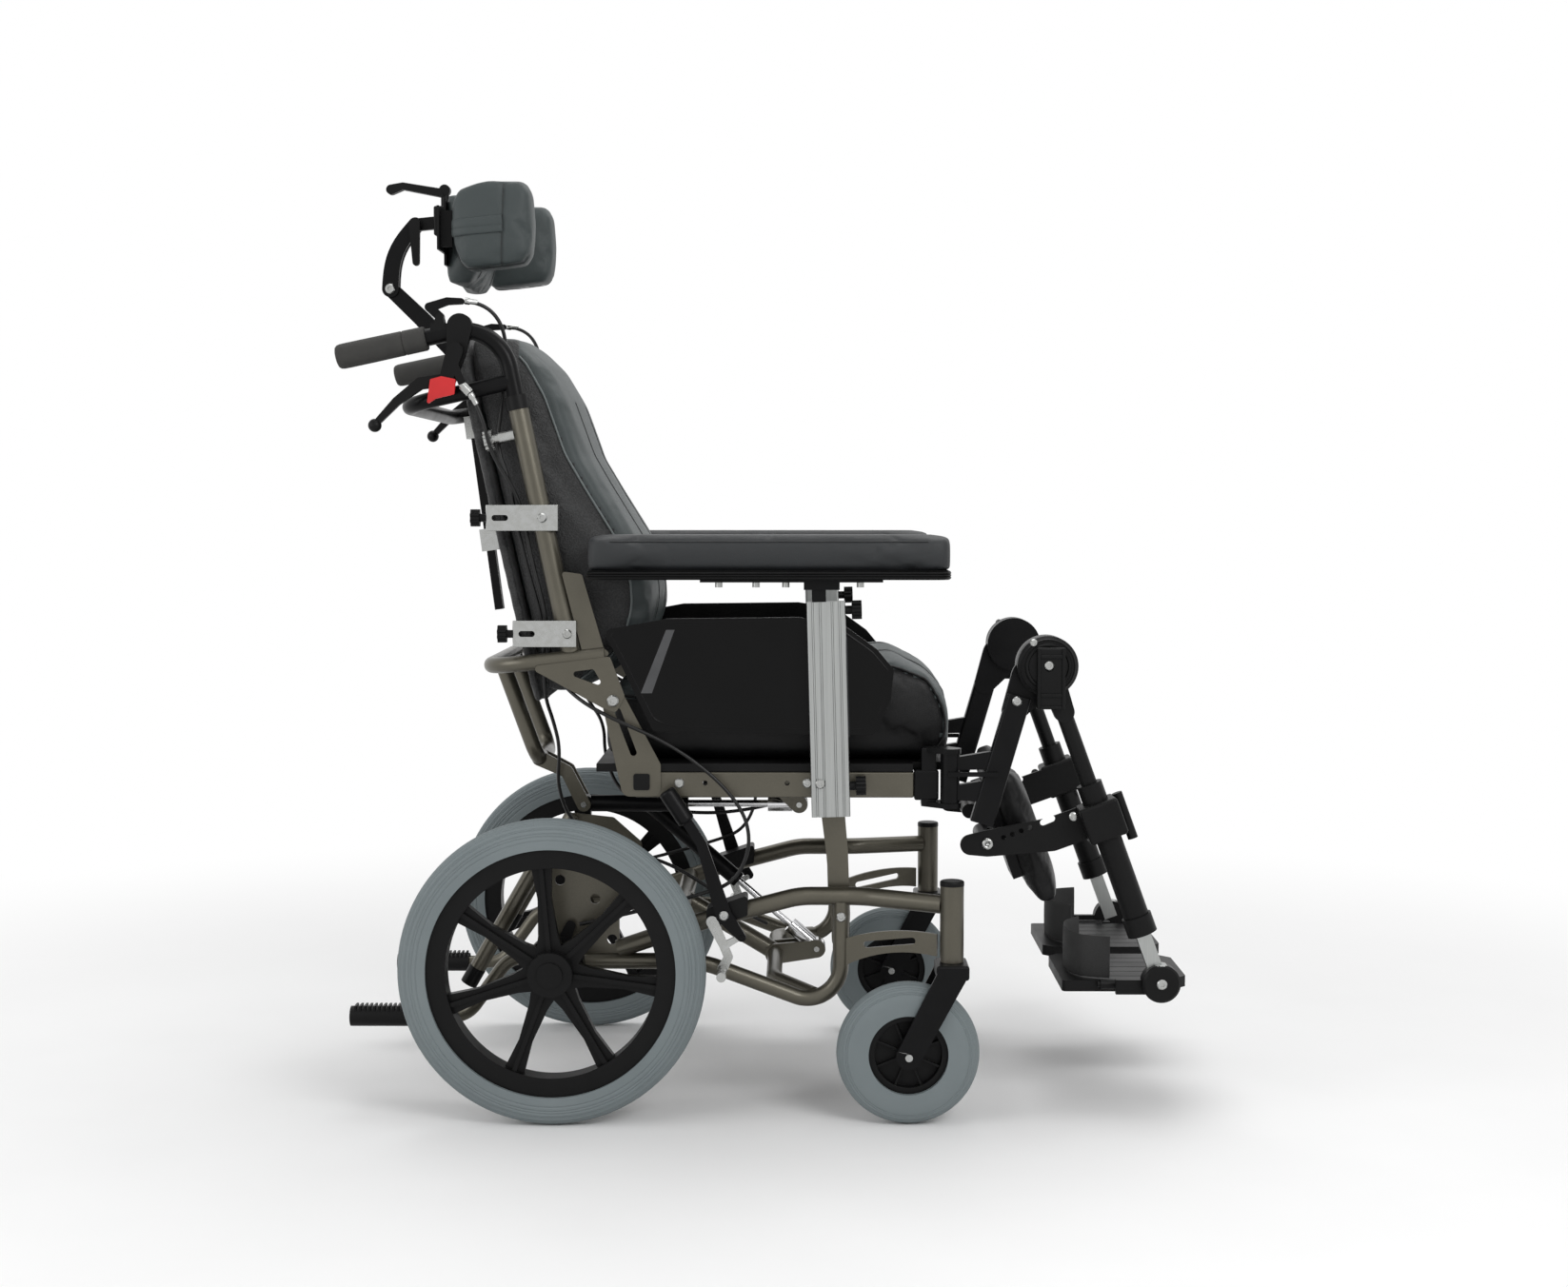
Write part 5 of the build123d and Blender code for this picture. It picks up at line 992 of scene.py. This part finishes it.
def makePanelTrim():
    for side, sign in sides:
        face = trim["face"] * sign
        corners = [Vector((x, face, z)) for x, z in trim["outline"]]
        route, share = [], trim["rounding"]
        for index, corner in enumerate(corners):
            before, after = corners[index - 1], corners[(index + 1) % len(corners)]
            first, last = corner.lerp(before, share), corner.lerp(after, share)
            for step in range(6):
                part = step / 5
                route.append(first.lerp(corner, part).lerp(corner.lerp(last, part), part))
        shape = bmesh.new()
        tubeAlong(shape, route, trim["bead"], 10, (1.0, trim["proud"]), Vector((0, 0, 1)), True)
        bmesh.ops.recalc_face_normals(shape, faces=shape.faces)
        asPiece(f"panelBead_{side}", shape, finishes["panel_plastic"], "seat", 60.0)
        film = bmesh.new()
        film.faces.new([film.verts.new((x, face, z)) for x, z in trim["stripe"]])
        made = bmesh.ops.extrude_face_region(film, geom=film.faces[:])["geom"]
        moved = [item for item in made if isinstance(item, bmesh.types.BMVert)]
        bmesh.ops.translate(film, vec=(0, trim["film"] * sign, 0), verts=moved)
        bmesh.ops.recalc_face_normals(film, faces=film.faces)
        asPiece(f"panelStripe_{side}", film, reflector, "seat")
        strip = bmesh.new()
        foot, head = [(x, face, z) for x, z in (edging["foot"], edging["head"])]
        tubeAlong(strip, between(foot, head, 12), edging["half"], 12, (1.0, edging["flat"]),
                  Vector((1, 0, 0)))
        bmesh.ops.recalc_face_normals(strip, faces=strip.faces)
        asPiece(f"panelEdging_{side}", strip, finishes["pad_vinyl"], "seat", 60.0)
    print("stage: panel trim")


def slab(shape, x, z, near, far):      # a block between two heights over the chair's side
    made = bmesh.ops.create_cube(shape, size=1.0)["verts"]
    for vert in made:
        vert.co = Vector((x[0] if vert.co.x < 0 else x[1], near if vert.co.y < 0 else far,
                          z[0] if vert.co.z < 0 else z[1]))


def makeKnees():
    for side, sign in sides:
        centre = (knee["centre"][0], knee["centre"][1] * sign, knee["centre"][2])
        for label in ("cap", "rim"):
            profileSpin(f"knee_{label}_{side}", knee[label], centre, (0, sign, 0),
                        finishes["black_plastic"], f"leg_{side}", knee["turns"],
                        label == "rim")
        near, far = latch["face"] * sign, (latch["face"] + latch["rise"]) * sign
        (left, right), (low, high), wall = latch["x"], latch["z"], latch["wall"]
        shape = bmesh.new()
        slab(shape, (left, left + wall), (low, high), near, far)
        slab(shape, (right - wall, right), (low, high), near, far)
        for level in latch["bars"]:
            slab(shape, (left + wall, right - wall), (level, level + latch["bar"]), near, far)
        slab(shape, (left + wall, right - wall), (low, low + wall), near, far)
        bmesh.ops.recalc_face_normals(shape, faces=shape.faces)
        piece = asPiece(f"kneeLatch_{side}", shape, finishes["black_plastic"], f"leg_{side}")
        softEdges(piece, 0.0007)
    print("stage: knees")


def makeScrews():
    for side, sign in sides:
        for number, (x, z, face, radius) in enumerate(screws["leg"]):
            outline = [(radius * share, rise) for share, rise in screws["head"]]
            profileSpin(f"kneeScrew_{side}_{number}", outline, (x, face * sign, z), (0, sign, 0),
                        finishes["plated_steel"], f"leg_{side}", 24, False)
        for label, ends in sleeves.items():
            start, end = [fromRecline(x, y * sign, z) for x, y, z in ends]
            profileSpin(f"{label}Sleeve_{side}", sleeve, start, end - start, finishes["plated_steel"],
                        "push_handle", 20, True)
    print("stage: screws and sleeves")


makeSeatCushion()
makeBackCushion()
makeBackShell()
makeArmrests()
makeHeadrest()
makeCalfPads()
makeFootplates()
makeGrips()
makePanelTrim()
makeKnees()
makeScrews()


# ---- cables held along the frame

def cut(route, first, last):
    picks = [min(range(len(route)), key=lambda index: (route[index] - end).length) for end in (first, last)]
    return route[picks[0]:picks[1] + 1]


cables = {                             # each function places the numbers that follow it
    "radius": 0.0026,
    "handle": [fromRecline, (-188.2, -240, 413.2), (-172, -241, 385), (-164, -233, 335),
               upCane, (215, -213, 24), (130, -213, 27), (55, -213, 23)],
    "hub": [fromRecline, (-90, -204, 68), (-80, -203, 30), (-48, -232, 2), (-4, -243, -22),
            (73, -243, -55), (137, -243, -101), (175, -243, -146), (186, -243, -185),
            fromAxle, (258, -241, 138), (237, -238, 110), (198, -236, 97), (150, -236, 83),
            (92, -234, 68), (33, -233, 55)],
    "release": [fromRecline, (-198.5, -215, 538.5), (-176, -212, 536), (-152, -203, 514),
                (-144, -196.5, 475), (-152, -197, 400), (-160, -199, 345),
                upCane, (240, -206, 34), (170, -206, 38), (100, -206, 35), (45, -206, 31)],
    "tilt": [fromRecline, (-96, -205, 55), (-97, -199, 5), (-88, -160, -38), (-86, -105, -80),
             (-96, -60, -140), (-78, -22, -200), (-20, -4, -240), (50, 2, -255), (110, 6, -290),
             (165, 8, -332), (205, 14, -352)],
    "recline": [fromRecline, (-96, 205, 55), (-95, 199, 5), (-72, 160, -34), (-42, 105, -64),
                (-37, 50, -110), (-10, 10, -160), (50, -8, -180), (120, -14, -185), (180, -20, -178),
                (208, -27, -170)],
    "brakeCuts": [upCane, (215, -213, 24), fromRecline, (60, -243, -50)],
    "tiltCuts": [upCane, (200, -206, 36), fromRecline, (-84, -80, -110)],
    "reclineCuts": [upCane, (200, 206, 36), fromRecline, (208, -27, -170)],
    "hinge": ((-0.30, 0, 0.64), (-0.27, 0, 0.50))}    # the back's joint on the seat


def laid(name):                        # a cable's points, in metres
    spots, place = [], None
    for item in cables[name]:
        if callable(item):
            place = item
        else:
            spots.append(place(*item))
    return spots


def makeCables():
    made = []
    for side, sign in sides:
        flip = Matrix.Diagonal((1, -sign, 1))
        line = smoothRoute([flip @ spot for spot in laid("handle") + laid("hub")])
        cuts = [flip @ spot for spot in laid("brakeCuts")]
        made += cableParts(f"brakeCable_{side}", line, cuts)
    made += cableParts("tiltCable", smoothRoute(laid("release") + laid("tilt")), laid("tiltCuts"))
    mirrored = [Vector((spot.x, -spot.y, spot.z)) for spot in laid("release")]
    last = smoothRoute(mirrored + laid("recline"))
    made += cableParts("reclineCable", last, laid("reclineCuts"), False)
    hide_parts("control_cables")
    print("stage: cables")


def cableParts(name, line, cuts, toBase=True):    # one stretch across each joint it crosses
    parts = []
    stretches = [("grip", line[0], cuts[0], "push_handle", "back"),
                 ("back", cuts[0], cuts[1], "back", "seat")]
    if toBase:
        stretches.append(("low", cuts[1], line[-1], "seat", "base"))
    for label, first, last, bodyA, bodyB in stretches:
        route = cut(line, first, last)
        shape = bmesh.new()
        tubeAlong(shape, route, cables["radius"], 10)
        bmesh.ops.recalc_face_normals(shape, faces=shape.faces)
        piece = asPiece(f"{name}_{label}", shape, finishes["cable_rubber"], None, 70.0)
        start, end = cables["hinge"] if label == "back" else (route[3], route[-4])
        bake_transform(piece)
        parts.append(piece)
    return parts


makeCables()


# ---- studio: floor, lights and the camera at the photograph's angle

studio = {
    "floor": tone(0.88, 0.88, 0.88), "shade": tone(0.82, 0.82, 0.82), "near": 0.7, "far": 2.4,
    "size": 14, "down": 0.0005, "sky": 0.55,
    "lamps": [                         # name, place, what it looks at, size and power
        ("key", (1.6, -2.6, 2.3), (0, 0, 0.6), (1.6, 1.2), 44.0),
        ("fill", (-2.4, -1.6, 1.4), (0, 0, 0.6), (1.8, 1.4), 20.0),
        ("top", (0.0, 0.6, 3.0), (0, 0, 0.5), (2.2, 2.2), 40.0)]}
view = {"lens": 50.08, "sensor": 36, "spot": (0.048, -3.172, 0.833), "down": 3.646, "turn": 0.363}


def plainRays(tree):                   # 1 for the rays that show the background
    path = tree.nodes.new("ShaderNodeLightPath")
    seen = path.outputs["Is Camera Ray"]
    for name in ("Is Glossy Ray", "Is Transmission Ray"):
        larger = tree.nodes.new("ShaderNodeMath")
        larger.operation = "MAXIMUM"
        tree.links.new(seen, larger.inputs[0])
        tree.links.new(path.outputs[name], larger.inputs[1])
        seen = larger.outputs[0]
    return seen


def plainWhite():
    paint = Paint("studio_white")
    cloud = paint.noise(3.0)
    paint.feed(Base_Color=paint.mix(cloud, studio["shade"], studio["floor"]),
               Roughness=0.7 + cloud * 0.1)
    away = paint.add("ShaderNodeVectorMath", {"operation": "LENGTH"}, {0: paint.place}, "Value")
    far = paint.ease(away, studio["near"], studio["far"]) * Wire(paint, plainRays(paint.tree))
    glow = paint.add("ShaderNodeEmission", {}, {"Color": tone(1, 1, 1), "Strength": 1.0})
    both = paint.add("ShaderNodeMixShader", {}, {0: far, 1: Wire(paint, paint.shader.outputs[0]), 2: glow})
    output = paint.tree.nodes["Material Output"]
    paint.tree.links.new(both.socket, output.inputs["Surface"])
    return paint.material


def areaLight(name, spot, aim, size, power):
    lamp = bpy.data.lights.new(name, "AREA")
    lamp.shape = "RECTANGLE"
    lamp.size, lamp.size_y = size
    lamp.energy = power
    holder = bpy.data.objects.new(name, lamp)
    scene.collection.objects.link(holder)
    holder.location = spot
    holder.rotation_euler = (Vector(aim) - Vector(spot)).to_track_quat("-Z", "Y").to_euler()


def makeStudio():
    shape = bmesh.new()
    bmesh.ops.create_grid(shape, x_segments=1, y_segments=1, size=studio["size"])
    bmesh.ops.translate(shape, vec=(0, 0, -studio["down"]), verts=shape.verts)
    mesh = bpy.data.meshes.new("floor")
    shape.to_mesh(mesh)
    shape.free()
    floor = bpy.data.objects.new("floor", mesh)
    scene.collection.objects.link(floor)
    floor.data.materials.append(plainWhite())
    world = bpy.data.worlds.new("studio")
    scene.world = world
    world.use_nodes = True
    nodes, links = world.node_tree.nodes, world.node_tree.links
    light = nodes["Background"]
    light.inputs["Color"].default_value = (1, 1, 1, 1)
    light.inputs["Strength"].default_value = studio["sky"]
    seen = nodes.new("ShaderNodeBackground")
    seen.inputs["Color"].default_value = (1, 1, 1, 1)
    seen.inputs["Strength"].default_value = 1.0
    mixer = nodes.new("ShaderNodeMixShader")
    links.new(plainRays(world.node_tree), mixer.inputs[0])
    links.new(light.outputs[0], mixer.inputs[1])
    links.new(seen.outputs[0], mixer.inputs[2])
    links.new(mixer.outputs[0], nodes["World Output"].inputs["Surface"])
    for name, spot, aim, size, power in studio["lamps"]:
        areaLight(name, spot, aim, size, power)
    scene.view_settings.view_transform = "Standard"
    lens = bpy.data.cameras.new("camera")
    lens.lens = view["lens"]
    lens.sensor_width = view["sensor"]
    camera = bpy.data.objects.new("camera", lens)
    scene.collection.objects.link(camera)
    camera.location = view["spot"]
    camera.rotation_euler = (math.radians(90 - view["down"]), 0, math.radians(view["turn"]))
    scene.camera = camera


makeStudio()
print("stage: studio")
